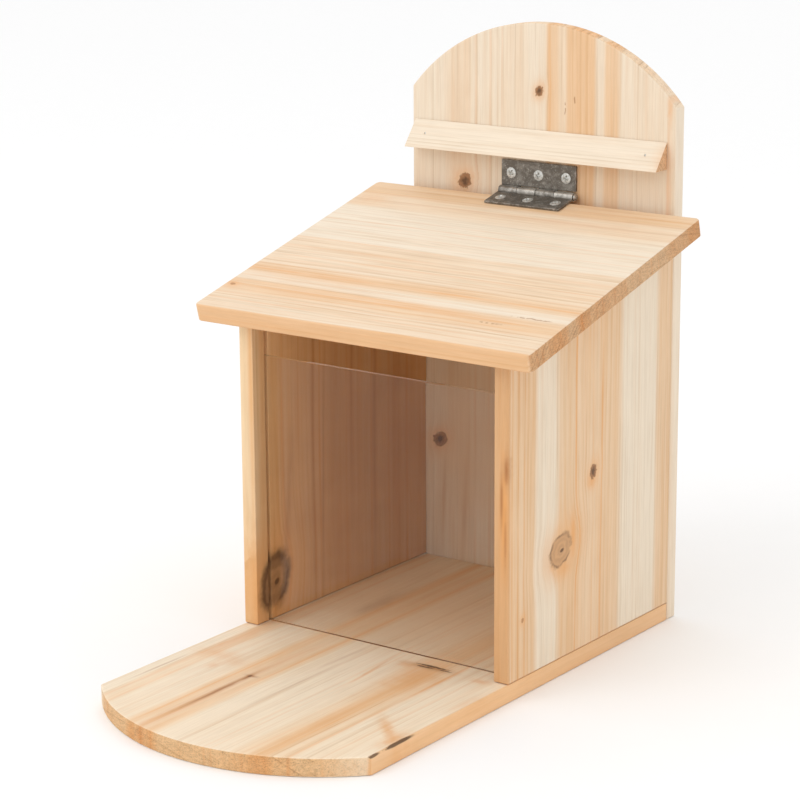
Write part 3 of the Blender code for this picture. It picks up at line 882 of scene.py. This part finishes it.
class FEEDER_OT_side_walls(bpy.types.Operator):
    """Build the two side walls with their pane grooves and sloping tops"""

    bl_idname = "feeder.side_walls"
    bl_label = "Side Walls"

    def execute(self, context):
        sizes = context.scene.feeder_boards
        gap = context.scene.feeder_hardware.gap
        looks = {
            "right": pine(
                "pine_right_wall", ("y", "x", "z"),
                banded((-8, -6.9, (1.0, 0.42, 0.42)), (-5.6, -1, TAN), (1, 16, PINK),
                       (21, 36, CREAM), (42, 56, PINK), (58, 82, TAN), (84, 99, PINK),
                       (104, 138, CREAM), (143, 157, PINK)),
                lines=[(-4, 0.9, 0.55), (1.5, 1.0, 0.55), (7.5, 1.1, 0.50), (57, 1.0, 1.0),
                       (66, 0.8, 0.25), (74, 0.8, 0.30), (83, 1.0, 0.90)],
                knots=[(42.5, 71, 10.5, 8.5, "sound"), (74.5, 107, 3.4, 3.9, "dark"),
                       (6, 42, 1.2, 1.4, "pin")],
                smears=[(54.5, 77, 2.4, 12, 0.0, 0.75, "resin"),
                        (45, 60, 6.0, 5.0, 0.0, 0.50, "resin"),
                        (35, 66, 4.0, 6.0, 0.0, 0.35, "resin"),
                        (73, 102, 4.5, 5.0, 0.0, 0.55, "resin"),
                        (-7.5, 101, 3.0, 30, 0.0, 0.95, "resin", 85.0, 2.6),
                        (-7.5, 126, 3.0, 8.0, 0.0, 0.90, "stain", 86.6, 1.6),
                        (-7.5, 110, 3.0, 14, 0.0, 0.80, "stain", 83.6, 1.0),
                        (-7.5, 88, 3.0, 13, 0.0, 0.60, "stain", 86.0, 0.9)],
                # Painted shade: the tint darkens the whole right wall, the side turned away from
                # the key light
                pith=(-95, 10), spacing=1.1, seed=4.1, tint=(0.955, 0.94, 0.915)),
            "left": pine(
                "pine_left_wall", ("y", "x", "z"),
                banded((-8, -6, BLUSH), (0, 22, AMBER), (26, 60, AMBER), (64, 90, AMBER),
                       (94, 118, TAN), (122, 157, AMBER)),
                lines=[(18, 1.4, 0.5), (33, 1.2, 0.4), (46, 1.4, 0.6), (52, 1.2, 0.5),
                       (77, 1.2, 0.4), (101, 1.4, 0.5), (118, 1.2, 0.4), (136, 1.4, 0.5)],
                knots=[(9.5, 32, 12.0, 15.0, "old"), (96, 172, 4.0, 5.0, "dark")],
                smears=[(46, 110, 1.6, 90, 0.0, 0.50, "stain"),
                        (55, 80, 1.0, 70, 0.02, 0.50, "stain"),
                        (104, 100, 1.6, 90, 0.0, 0.45, "stain"),
                        (82, 130, 1.2, 70, 0.0, 0.40, "stain"),
                        (66, 110, 6.0, 90, 0.0, 0.20, "stain"),
                        (22, 70, 3.0, 40, 0.10, 0.35, "stain"),
                        (125, 110, 5.0, 90, 0.0, 0.20, "stain"),
                        # Painted shade: a broad brown blanket over the whole inside face of the
                        # left wall, where the box is shaded
                        (95, 90, 85, 130, 0.0, 0.58, "stain", WALL_LOW.x / -MM, 5.0),
                        (-7.5, 30, 2.0, 30, 0.0, 0.5, "resin", -80, 5.0),
                        (-7.5, 150, 2.0, 90, 0.0, 0.55, "resin", -80.5, 1.5)],
                # Painted shade: the tint warms and browns the left wall, standing in for the brown
                # shade inside the box
                pith=(200, -60), spacing=1.2, seed=8.7, tint=(1.02, 0.95, 0.80)),
        }
        slope = math.tan(sizes.lid_slope)
        under = (sizes.lid_thickness + sizes.lid_gap) / math.cos(sizes.lid_slope)
        leaf = context.scene.feeder_hardware.leaf_thickness + gap
        lid_at_pin = PIN.z - leaf / math.cos(sizes.lid_slope)

        def wall_top(flat):
            """Height under the lid: its face at the pin, less its thickness, falling forwards."""
            return lid_at_pin + (flat[..., 1] - PIN.y) * slope - under

        for name, sign in (("left", -1.0), ("right", 1.0)):
            outer, inner = sign * WALL_HIGH.x, sign * WALL_LOW.x
            floor = inner + sign * sizes.groove_depth
            front, rear = WALL_LOW.y, WALL_HIGH.y
            slot_front, slot_rear = PANE_LOW.y - gap, PANE_HIGH.y + gap
            outline = [(inner, front), (outer, front), (outer, rear), (inner, rear),
                       (inner, slot_rear), (floor, slot_rear), (floor, slot_front),
                       (inner, slot_front)]
            if sign < 0:
                outline = outline[::-1]
            piece = sawn_board(
                f"{name}_side", outline, WALL_LOW.z, wall_top,
                corner=sizes.eased_edge * 0.6, edge=sizes.eased_edge * 0.7, grain=(0, 0, 1))
            finish_piece(piece, "house", f"{name}_wall", looks[name])
        return {"FINISHED"}


class FEEDER_OT_back_board(bpy.types.Operator):
    """Build the tall back board with its arched top"""

    bl_idname = "feeder.back_board"
    bl_label = "Back Board"

    def execute(self, context):
        sizes = context.scene.feeder_boards
        shoulder = BACK_HIGH.z - sizes.arch_height
        outline = [(BACK_LOW.x, BACK_LOW.z), (BACK_HIGH.x, BACK_LOW.z)]
        outline += list(bow_points(
            (BACK_HIGH.x, shoulder), (BACK_LOW.x, shoulder), sizes.arch_height, 72))
        upright = Matrix(((1, 0, 0, 0), (0, 0, -1, 0), (0, 1, 0, 0), (0, 0, 0, 1)))
        piece = sawn_board("arched_back", outline, -BACK_HIGH.y, -BACK_LOW.y, upright,
                           corner=sizes.eased_edge, edge=sizes.eased_edge, grain=(0, 1, 0))
        look = pine(
            "pine_back", ("x", "y", "z"),
            banded((-88, -66, PALE), (-60, -50, BLUSH), (-45, -12, PALE), (-8, 3, CREAM),
                   (5, 11, TAN), (13, 16, BLUSH), (18, 35, AMBER), (37, 41, CREAM), (43, 50, TAN),
                   (53, 80, PALE), (84, 88, PALE)),
            lines=[(-44, 1.4, 0.30), (-34, 1.1, 0.30), (-26, 0.8, 0.2), (6, 1.2, 0.35),
                   (24, 1.4, 0.25), (47, 1.4, 0.25), (83, 1.2, 0.40)],
            knots=[(-0.8, 295.5, 2.6, 3.0, "dark"), (-51.5, 240, 4.3, 4.3, "dark"),
                   (-69, 83, 4.6, 4.4, "dark")],
            smears=[(-57, 278, 7.0, 26, 0.06, 0.20, "knot"),
                    (-52, 262, 14, 4.0, 0.0, 0.25, "resin"),
                    (84, 292, 1.6, 9.0, 0.0, 0.45, "resin"),
                    (84, 250, 2.0, 24, 0.0, 0.25, "resin"), (-66, 50, 1.6, 24, 0.03, 0.55, "knot"),
                    (-51, 46, 1.8, 34, 0.05, 0.50, "knot"), (-30, 60, 1.4, 50, 0.0, 0.35, "knot"),
                    (0, 60, 1.4, 60, 0.0, 0.3, "knot"),
                    # Painted shade: a broad heartwood blanket browns the back board's front face
                    # inside the box
                    (0, 110, 90, 100, 0.0, 0.60, "heartwood", BACK_LOW.y / MM, 3.0)],
            cracks=[(22.6, 293, 0.42, 3.2, 0.0), (16.6, 287, 0.30, 4.0, 0.05)],
            pith=(-160, 120), spacing=1.35, seed=21.9, figure=0.7, end_tint=(1.06, 0.95, 0.84),
            tint=(0.96, 0.955, 0.95))
        finish_piece(piece, "house", "back_board", look)
        return {"FINISHED"}


class FEEDER_OT_rain_strip(bpy.types.Operator):
    """Build the three-sided strip that sheds rain over the hinge"""

    bl_idname = "feeder.rain_strip"
    bl_label = "Rain Strip"

    def execute(self, context):
        sizes = context.scene.feeder_boards
        outline = [
            (STRIP_LOW.y, STRIP_LOW.z), (STRIP_HIGH.y, STRIP_LOW.z), (STRIP_HIGH.y, STRIP_HIGH.z)]
        lengthways = Matrix(((0, 0, 1, 0), (1, 0, 0, 0), (0, 1, 0, 0), (0, 0, 0, 1)))
        piece = sawn_board("rain_shed", outline, STRIP_LOW.x, STRIP_HIGH.x, lengthways,
                           corner=sizes.strip_edge * 0.4, edge=sizes.strip_edge * 0.5, steps=4,
                           grain=(0, 0, 1))
        look = pine(
            "pine_strip", ("z", "y", "x"), banded((255, 262, CREAM), (264, 280, CREAM)),
            smears=[(266, 84, 9, 5, 0.0, 0.3, "resin")],
            pith=(150, 40), spacing=0.9, seed=31.7, figure=0.6)
        finish_piece(piece, "house", "rain_strip", look)
        return {"FINISHED"}


class FEEDER_OT_roof_lid(bpy.types.Operator):
    """Build the sloping lid in the hinge's own frame and turn it down into place"""

    bl_idname = "feeder.roof_lid"
    bl_label = "Roof Lid"

    def execute(self, context):
        sizes = context.scene.feeder_boards
        hardware = context.scene.feeder_hardware
        low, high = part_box("roof_lid")
        place = hinge_place(sizes)
        rear = max((place.inverted() @ vertex.co).y
                   for vertex in frame["nodes"]["roof_lid"].data.vertices)
        top = -(hardware.leaf_thickness + hardware.gap)
        outline = rectangle(low.x, high.x, rear - sizes.lid_length, rear)
        piece = sawn_board("sloping_lid", outline, top - sizes.lid_thickness, top, place,
                           corner=sizes.lid_corner, edge=sizes.eased_edge, grain=(1, 0, 0))
        look = pine(
            "pine_lid", ("-y", "z", "x"),
            banded((4, 18, PINK), (24, 37, BLUSH), (45, 84, CREAM), (87, 120, BLUSH),
                   (126, 132, TAN), (136, 141, PALE), (146, 156, TAN), (162, 170, BLUSH),
                   (174, 178.6, BLUSH), (179.6, 182, ORANGE)),
            lines=[(52, 0.8, 0.20), (59, 1.0, 0.40), (64, 0.8, 0.20), (72, 0.8, 0.22),
                   (79, 0.8, 0.20), (86, 1.0, 0.35), (97, 1.0, 0.30), (103, 0.8, 0.22),
                   (109, 1.0, 0.38), (115, 0.8, 0.22), (122, 0.8, 0.28), (129, 1.6, 0.55),
                   (138, 0.8, 0.25), (145, 0.8, 0.35), (150, 1.4, 0.40), (156, 0.8, 0.35),
                   (161, 0.9, 0.40), (168, 1.0, 0.38), (173, 0.7, 0.25)],
            knots=[(151.3, -103.5, 1.3, 1.8, "pin")],
            smears=[(148, 30, 3.4, 42, 0.02, 0.40, "resin"),
                    (151, -60, 3.0, 44, 0.0, 0.25, "resin"),
                    (28, -96, 6.0, 12, 0.0, 0.30, "resin"), (30, 40, 4.0, 60, 0.0, 0.18, "resin"),
                    (140, 60, 2.6, 60, 0.0, 0.55, "sapwood"),
                    (134, -70, 8.0, 60, 0.0, 0.20, "resin")],
            cracks=[(153, 68, 0.5, 8.0, 0.0), (142.5, 86, 0.5, 14.0, 0.02)],
            origin=PIN, turn=sizes.lid_slope, pith=(60, -120), spacing=0.8, seed=15.2, figure=1.5,
            end_tint=(0.76, 0.56, 0.39))
        finish_piece(piece, "lid", "roof_lid", look)
        return {"FINISHED"}


def hinge_place(sizes):
    """The hinge's own frame on the closed lid: its origin on the pin, turned down the slope."""
    return Matrix.Translation(PIN) @ Matrix.Rotation(sizes.lid_slope, 4, "X")


class FEEDER_OT_window_pane(bpy.types.Operator):
    """Build the clear pane with its polished edges"""

    bl_idname = "feeder.window_pane"
    bl_label = "Window Pane"

    def execute(self, context):
        edge = context.scene.feeder_boards.pane_edge
        upright = Matrix(((1, 0, 0, 0), (0, 0, -1, 0), (0, 1, 0, 0), (0, 0, 0, 1)))
        outline = rectangle(PANE_LOW.x, PANE_HIGH.x, PANE_LOW.z, PANE_HIGH.z)
        piece = sawn_board("clear_pane", outline, -PANE_HIGH.y, -PANE_LOW.y, upright,
                           corner=edge, edge=edge, steps=3)
        finish_piece(piece, "pane", "window_pane", clear_acrylic("clear_acrylic"))
        return {"FINISHED"}


class FEEDER_OT_hinge(bpy.types.Operator):
    """Build the butt hinge: two leaves with curled knuckles, and a pin with a domed head"""

    bl_idname = "feeder.hinge"
    bl_label = "Hinge"

    def leaf(self, name, knuckles, plate_low, place, hardware):
        """A plate with its knuckles: each is a ring, open at a narrow slit where the sheet ends."""
        half = hardware.hinge_width / 2
        width = hardware.hinge_width / hardware.knuckle_count
        clear = hardware.knuckle_radius + hardware.gap
        plate_high = plate_low + hardware.leaf_thickness
        plate = sawn_board(
            name, rectangle(-half, half, -hardware.leaf_reach, -clear), plate_low, plate_high,
            place, corner=0.3 * MM, edge=0.2 * MM, steps=4)
        lengthways = place @ Matrix(((0, 0, 1, 0), (1, 0, 0, 0), (0, 1, 0, 0), (0, 0, 0, 1)))
        inner = hardware.pin_radius + hardware.gap
        start = math.pi + math.atan2(0.35, 1.0)
        around = np.linspace(start, start + KNUCKLE_SWEEP, 60)
        ring = np.stack([np.cos(around), np.sin(around)], 1)
        section = np.concatenate([ring * hardware.knuckle_radius, ring[::-1] * inner])
        joined = []
        for index in knuckles:
            left = -half + index * width + hardware.gap / 2
            right = left + width - hardware.gap
            joined.append(sawn_board(
                f"{name}_knuckle_{index}", section, left, right, lengthways,
                corner=0.05 * MM, edge=0.18 * MM, steps=3))
            reach = math.sqrt(inner ** 2 - min(plate_high, 0.0) ** 2) + 0.35 * MM
            tab = rectangle(left + 0.02 * MM, right - 0.02 * MM, -clear - 0.9 * MM, -reach)
            joined.append(sawn_board(
                f"{name}_tab_{index}", tab, plate_low + 0.01 * MM, plate_high - 0.01 * MM, place,
                corner=0.05 * MM, edge=0.05 * MM, steps=2))
        return carved(plate, joined, "UNION")

    def execute(self, context):
        sizes = context.scene.feeder_boards
        hardware = context.scene.feeder_hardware
        down_slope = hinge_place(sizes)
        upright = Matrix.Translation(PIN) @ Matrix.Rotation(math.radians(-90), 4, "X")
        back = self.leaf("back_leaf", (0, 2), hardware.knuckle_radius - hardware.leaf_thickness,
                         upright, hardware)
        lid = self.leaf("lid_leaf", (1, 3), -hardware.leaf_thickness, down_slope, hardware)
        for leaf, seats in ((back, back_leaf_seats(context)), (lid, lid_leaf_seats(context))):
            carved(leaf, [countersink(seat, outward, hardware) for seat, outward in seats])
        dark = antique_steel("antique_steel", 0.45)
        bright = antique_steel("antique_steel_rubbed", 1.0)
        finish_piece(back, "house", "hinge_back_leaf", dark)
        finish_piece(lid, "lid", "hinge_lid_leaf", bright)
        end = hardware.hinge_width / 2
        bow = np.linspace(0, math.pi / 2, 9)
        head, rise = 2.1 * MM, 1.4 * MM
        radius = np.concatenate([head * np.sin(bow), [head * 0.96, hardware.pin_radius],
                                 [hardware.pin_radius, hardware.pin_radius * 0.7, 0.0]])
        height = np.concatenate([end + hardware.gap + 0.2 * MM + (rise - 0.2 * MM) * np.cos(bow),
                                 [end + hardware.gap, end + hardware.gap],
                                 [-end + 0.3 * MM, -end, -end]])
        pin = turned_piece("domed_pin", radius, height, facing_place(PIN, (1, 0, 0)), 40)
        finish_piece(pin, "house", "hinge_pin", bright)
        return {"FINISHED"}


def countersink(seat, outward, hardware):
    """A cutter for a screw's hole: a cone for the head and a clear bore for the shank."""
    rim = hardware.head_radius + 0.12 * MM
    bore = hardware.shank_radius + hardware.gap
    radius = [0.0, rim, rim, bore, bore, 0.0]
    height = [1.5 * MM, 1.5 * MM, 0.0, bore - rim, -30 * MM, -30 * MM]
    return turned_piece("countersink", radius, height, facing_place(seat, outward), 40)


def back_leaf_seats(context):
    """Seats of the screws through the hinge's upright leaf, and the way each one faces."""
    hardware = context.scene.feeder_hardware
    face = BACK_LOW.y - hardware.gap - hardware.leaf_thickness
    return [(Vector((x * MM, face, PIN.z + LEAF_SCREWS_FROM_PIN)), Vector((0, -1, 0)))
            for x in LEAF_SCREWS_ACROSS]


def lid_leaf_seats(context):
    """Seats of the screws through the lid's leaf, and the way each one faces."""
    place = hinge_place(context.scene.feeder_boards)
    outward = place.to_3x3() @ Vector((0, 0, 1))
    return [
        (place @ Vector((x * MM, -LEAF_SCREWS_FROM_PIN, 0.0)), outward) for x in LEAF_SCREWS_ACROSS]


def board_seats(context):
    """Seats of the screws that hold the boards together, by CAD node."""
    hardware = context.scene.feeder_hardware
    sunk = hardware.head_rise + hardware.gap
    depth = WALL_HIGH.y - WALL_LOW.y + hardware.gap
    middle = (WALL_LOW.x + WALL_HIGH.x) / 2
    seats = {}
    for name, sign in (("left", -1), ("right", 1)):
        for index, share in enumerate(BASE_SCREWS_ALONG_WALL):
            seats[f"{name}_wall_base_screw_{index + 1}"] = (
                Vector((sign * middle, WALL_LOW.y + depth * share, sunk)), Vector((0, 0, -1)))
        for index, height in enumerate(WALL_SCREW_HEIGHTS):
            seats[f"{name}_wall_back_screw_{index + 1}"] = (
                Vector((sign * middle, BACK_HIGH.y - sunk, height * MM)), Vector((0, 1, 0)))
        seats[f"{name}_base_back_screw"] = (
            Vector((sign * BASE_SCREWS_FROM_MIDDLE, BACK_HIGH.y - sunk, BASE_HIGH.z / 2)),
            Vector((0, 1, 0)))
    return seats


def screw_length(node):
    """Short screws hold the hinge's leaves, long ones the boards."""
    return LEAF_SCREW_LENGTH if "leaf" in node else BOARD_SCREW_LENGTH


class FEEDER_OT_screws(bpy.types.Operator):
    """Build the cross-head screws and sink their holes in the boards"""

    bl_idname = "feeder.screws"
    bl_label = "Screws"

    def screw(self, name, seat, outward, length, hardware, turn):
        """A screw turned from its dome to its point.

        The cross recess lowers the dome by its depth where either arm's width and reach cover the
        point, with sloping walls. The thread adds a sine of the angle less the depth over the
        pitch, fading out at the neck and the point.
        """
        steps = 64
        angle = np.linspace(0, 2 * math.pi, steps, endpoint=False)[None, :]
        head, shank, rise = hardware.head_radius, hardware.shank_radius, hardware.head_rise
        dome = np.linspace(0, 1, 19)[:, None]
        reach = head * dome
        across, up = reach * np.cos(angle), reach * np.sin(angle)
        wide, far = 0.46 * MM, 1.85 * MM
        side_wall, end_wall = 0.16 * MM, 0.7 * MM
        arm = np.maximum(
            np.minimum((wide - np.abs(up)) / side_wall, (far - np.abs(across)) / end_wall),
            np.minimum((wide - np.abs(across)) / side_wall, (far - np.abs(up)) / end_wall))
        middle = 1 - (np.hypot(across, up) - 0.45 * MM) / (0.4 * MM)
        cut = np.clip(np.maximum(arm, middle), 0, 1) * hardware.recess_depth
        head_height = rise * (1 - dome[:, 0] ** 2.6) + 0.05 * MM
        neck = head - shank
        rows = max(24, int(length / MM * 3.4))
        down = np.linspace(neck, length - 2.2 * shank, rows)
        fade = np.clip((down - neck) / (1.5 * MM), 0, 1)[:, None]
        thread = (0.5 + 0.5 * np.cos(angle - 2 * math.pi * down[:, None] / THREAD_PITCH)) ** 2
        body = shank * (0.74 + 0.26 * thread * fade)
        radius = np.concatenate([
            np.repeat(head * dome, steps, 1),
            np.full((1, steps), head * 0.995), np.full((1, steps), shank),
            body, np.full((1, steps), shank * 0.30), np.zeros((1, steps))])
        height = np.concatenate([head_height, [-0.06 * MM, -neck + 0.02 * MM], -down,
                                 [-(length - 0.5 * shank), -length]])
        shift = np.zeros_like(radius)
        shift[:19] = -cut
        place = facing_place(seat, outward) @ Matrix.Rotation(turn, 4, "Z")
        return turned_piece(name, radius, height, place, steps, shift, 34.0)

    def execute(self, context):
        hardware = context.scene.feeder_hardware
        look = zinc_steel("zinc_steel")
        seats = {}
        for index, place in enumerate(back_leaf_seats(context)):
            seats[f"back_leaf_screw_{index + 1}"] = place
        for index, place in enumerate(lid_leaf_seats(context)):
            seats[f"lid_leaf_screw_{index + 1}"] = place
        seats.update(board_seats(context))
        turns = np.random.default_rng(7).uniform(0, math.pi / 2, len(seats))
        for (node, (seat, outward)), turn in zip(seats.items(), turns):
            piece = self.screw(f"{node}_turned", seat, outward, screw_length(node), hardware, turn)
            body = "lid" if node.startswith("lid") else "house"
            finish_piece(piece, body, node, look)
        holes = {"landing_and_floor": [], "arched_back": [], "sloping_lid": [],
                 "left_side": [], "right_side": []}
        for node, (seat, outward) in seats.items():
            if node.startswith("back_leaf"):
                targets = ["arched_back"]
            elif node.startswith("lid_leaf"):
                targets = ["sloping_lid"]
            elif "wall_base" in node:
                targets = ["landing_and_floor", node.split("_")[0] + "_side"]
            elif "wall_back" in node:
                targets = ["arched_back", node.split("_")[0] + "_side"]
            else:
                targets = ["arched_back", "landing_and_floor"]
            for target in targets:
                holes[target].append(screw_hole(seat, outward, screw_length(node), hardware))
        for target, cutters in holes.items():
            carved(bpy.data.objects[target], cutters)
        return {"FINISHED"}


def screw_hole(seat, outward, length, hardware):
    """A cutter a clearance wider than the screw: head, cone and shank."""
    rim = hardware.head_radius + SCREW_CLEARANCE
    bore = hardware.shank_radius + SCREW_CLEARANCE
    radius = [0.0, rim + 0.2 * MM, rim, bore, bore, 0.0]
    height = [2.5 * MM, 2.5 * MM, 0.0, bore - rim, -length - hardware.gap, -length - hardware.gap]
    return turned_piece("screw_hole", radius, height, facing_place(seat, outward), 32)


class FEEDER_OT_brads(bpy.types.Operator):
    """Build the two small brads that pin the rain strip"""

    bl_idname = "feeder.brads"
    bl_label = "Strip Brads"

    def execute(self, context):
        look = zinc_steel("zinc_brad")
        cutters = []
        for name in ("left", "right"):
            low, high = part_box(f"{name}_strip_brad")
            middle = (low + high) / 2
            long, wide = high.y - low.y, (high.x - low.x) / 2
            place = facing_place(Vector((middle.x, low.y, middle.z)), (0, -1, 0))
            radius = np.array([0.0, 0.55, 0.92, 1.0, 1.0, 0.62, 0.0]) * wide
            point = -(long / MM)
            height = np.array([0.0, 0.0, -0.08, -0.25, point + 1.4, point + 0.4, point]) * MM
            piece = turned_piece(f"{name}_brad", radius, height, place, 24)
            finish_piece(piece, "house", f"{name}_strip_brad", look)
            hole, above, below = wide + 0.06 * MM, 9 * MM, -long - 0.2 * MM
            cutters.append(turned_piece(
                "brad_hole", [0.0, hole, hole, 0.0], [above, above, below, below], place, 24))
        board_cutters = [tool.copy() for tool in cutters]
        for tool in board_cutters:
            tool.data = tool.data.copy()
            bpy.context.scene.collection.objects.link(tool)
        carved(bpy.data.objects["rain_shed"], cutters)
        carved(bpy.data.objects["arched_back"], board_cutters)
        return {"FINISHED"}


class FEEDER_OT_studio(bpy.types.Operator):
    """Set up the pale floor, the soft lights and the camera"""

    bl_idname = "feeder.studio"
    bl_label = "Studio"

    def lamp(self, name, where, size, power, context):
        """A square area light that looks at the feeder's middle."""
        data = bpy.data.lights.new(name, "AREA")
        data.size = size
        data.energy = power
        lamp = bpy.data.objects.new(name, data)
        lamp.matrix_world = facing_place(where, Vector(where) - Vector((0, 0, 0.14)))
        context.scene.collection.objects.link(lamp)

    def execute(self, context):
        studio = context.scene.feeder_studio
        turn = np.linspace(0, 2 * math.pi, 96, endpoint=False)
        reach = np.array([9.0, 4.0, 1.5, 0.4, 0.0])
        rings = np.stack([np.outer(reach, np.cos(turn)), np.outer(reach, np.sin(turn)),
                          np.full((5, 96), -0.0002)], -1)
        floor = add_piece("floor", rings.reshape(-1, 3), grid_quads(5, 96)[:, ::-1].tolist())
        f = Finish("pale_floor")
        place = f.node("ShaderNodeTexCoord", out=3)
        tone = tuple(studio.floor_tone)
        paper = f.mix(f.noise(place, 40.0, 3.0), tone, tuple(value * 0.985 for value in tone))
        floor.data.materials.append(f.end(f.node("ShaderNodeBsdfPrincipled", (), {
            "Base Color": paper, "Roughness": 0.75, "Specular IOR Level": 0.2})))

        world = bpy.data.worlds.new("white_studio")
        context.scene.world = world
        world.use_nodes = True
        sky = world.node_tree.nodes["Background"]
        sky.inputs["Color"].default_value = (1.0, 1.0, 1.0, 1.0)
        sky.inputs["Strength"].default_value = studio.surround
        self.lamp("key_light", (-0.5, -1.6, 1.9), 1.6, studio.key_power, context)
        self.lamp("side_light", (1.8, -0.4, 1.0), 1.4, studio.side_power, context)

        swing, tilt, roll = studio.azimuth, studio.elevation, studio.roll
        back = Vector((
            math.sin(swing) * math.cos(tilt), -math.cos(swing) * math.cos(tilt), math.sin(tilt)))
        right = Vector((math.cos(swing), math.sin(swing), 0.0))
        up = back.cross(right)
        turned_right = right * math.cos(roll) + up * math.sin(roll)
        turned_up = up * math.cos(roll) - right * math.sin(roll)
        turned = Matrix((turned_right, turned_up, back)).transposed().to_4x4()
        data = bpy.data.cameras.new("camera")
        data.lens = studio.lens
        data.sensor_width = 36.0
        camera = bpy.data.objects.new("camera", data)
        stand = Vector(studio.aim) + back * studio.distance
        camera.matrix_world = Matrix.Translation(stand) @ turned
        context.scene.collection.objects.link(camera)
        context.scene.camera = camera
        context.scene.view_settings.view_transform = "Standard"
        return {"FINISHED"}


class FEEDER_PT_sidebar(bpy.types.Panel):
    """The feeder's sizes, colours and steps"""

    bl_idname = "FEEDER_PT_sidebar"
    bl_label = "Squirrel Feeder"
    bl_space_type = "VIEW_3D"
    bl_region_type = "UI"
    bl_category = "Feeder"

    def draw(self, context):
        for group in (
                "feeder_boards", "feeder_hardware", "feeder_tones", "feeder_grain",
                "feeder_studio"):
            box = self.layout.box()
            values = getattr(context.scene, group)
            for label in values.__annotations__:
                box.prop(values, label)
        column = self.layout.column(align=True)
        for step in STEPS:
            column.operator(step.bl_idname)


GROUPS = {
    "feeder_boards": FeederBoardSizes,
    "feeder_hardware": FeederHardwareSizes,
    "feeder_tones": FeederTones,
    "feeder_grain": FeederGrain,
    "feeder_studio": FeederStudio,
}
STEPS = (
    FEEDER_OT_studio,
    FEEDER_OT_base_board,
    FEEDER_OT_side_walls,
    FEEDER_OT_back_board,
    FEEDER_OT_rain_strip,
    FEEDER_OT_roof_lid,
    FEEDER_OT_window_pane,
    FEEDER_OT_hinge,
    FEEDER_OT_screws,
    FEEDER_OT_brads,
)


def register():
    for name, group in GROUPS.items():
        bpy.utils.register_class(group)
        setattr(bpy.types.Scene, name, PointerProperty(type=group))
    for step in STEPS:
        bpy.utils.register_class(step)
    bpy.utils.register_class(FEEDER_PT_sidebar)


def unregister():
    bpy.utils.unregister_class(FEEDER_PT_sidebar)
    for step in reversed(STEPS):
        bpy.utils.unregister_class(step)
    for name, group in reversed(GROUPS.items()):
        delattr(bpy.types.Scene, name)
        bpy.utils.unregister_class(group)


def main():
    """Register the add-on and run its steps in order."""
    register()
    bpy.ops.feeder.studio()
    bpy.ops.feeder.base_board()
    bpy.ops.feeder.side_walls()
    bpy.ops.feeder.back_board()
    bpy.ops.feeder.rain_strip()
    bpy.ops.feeder.roof_lid()
    bpy.ops.feeder.window_pane()
    bpy.ops.feeder.hinge()
    bpy.ops.feeder.screws()
    bpy.ops.feeder.brads()
    bpy.context.view_layer.update()


if __name__ == "__main__":
    main()
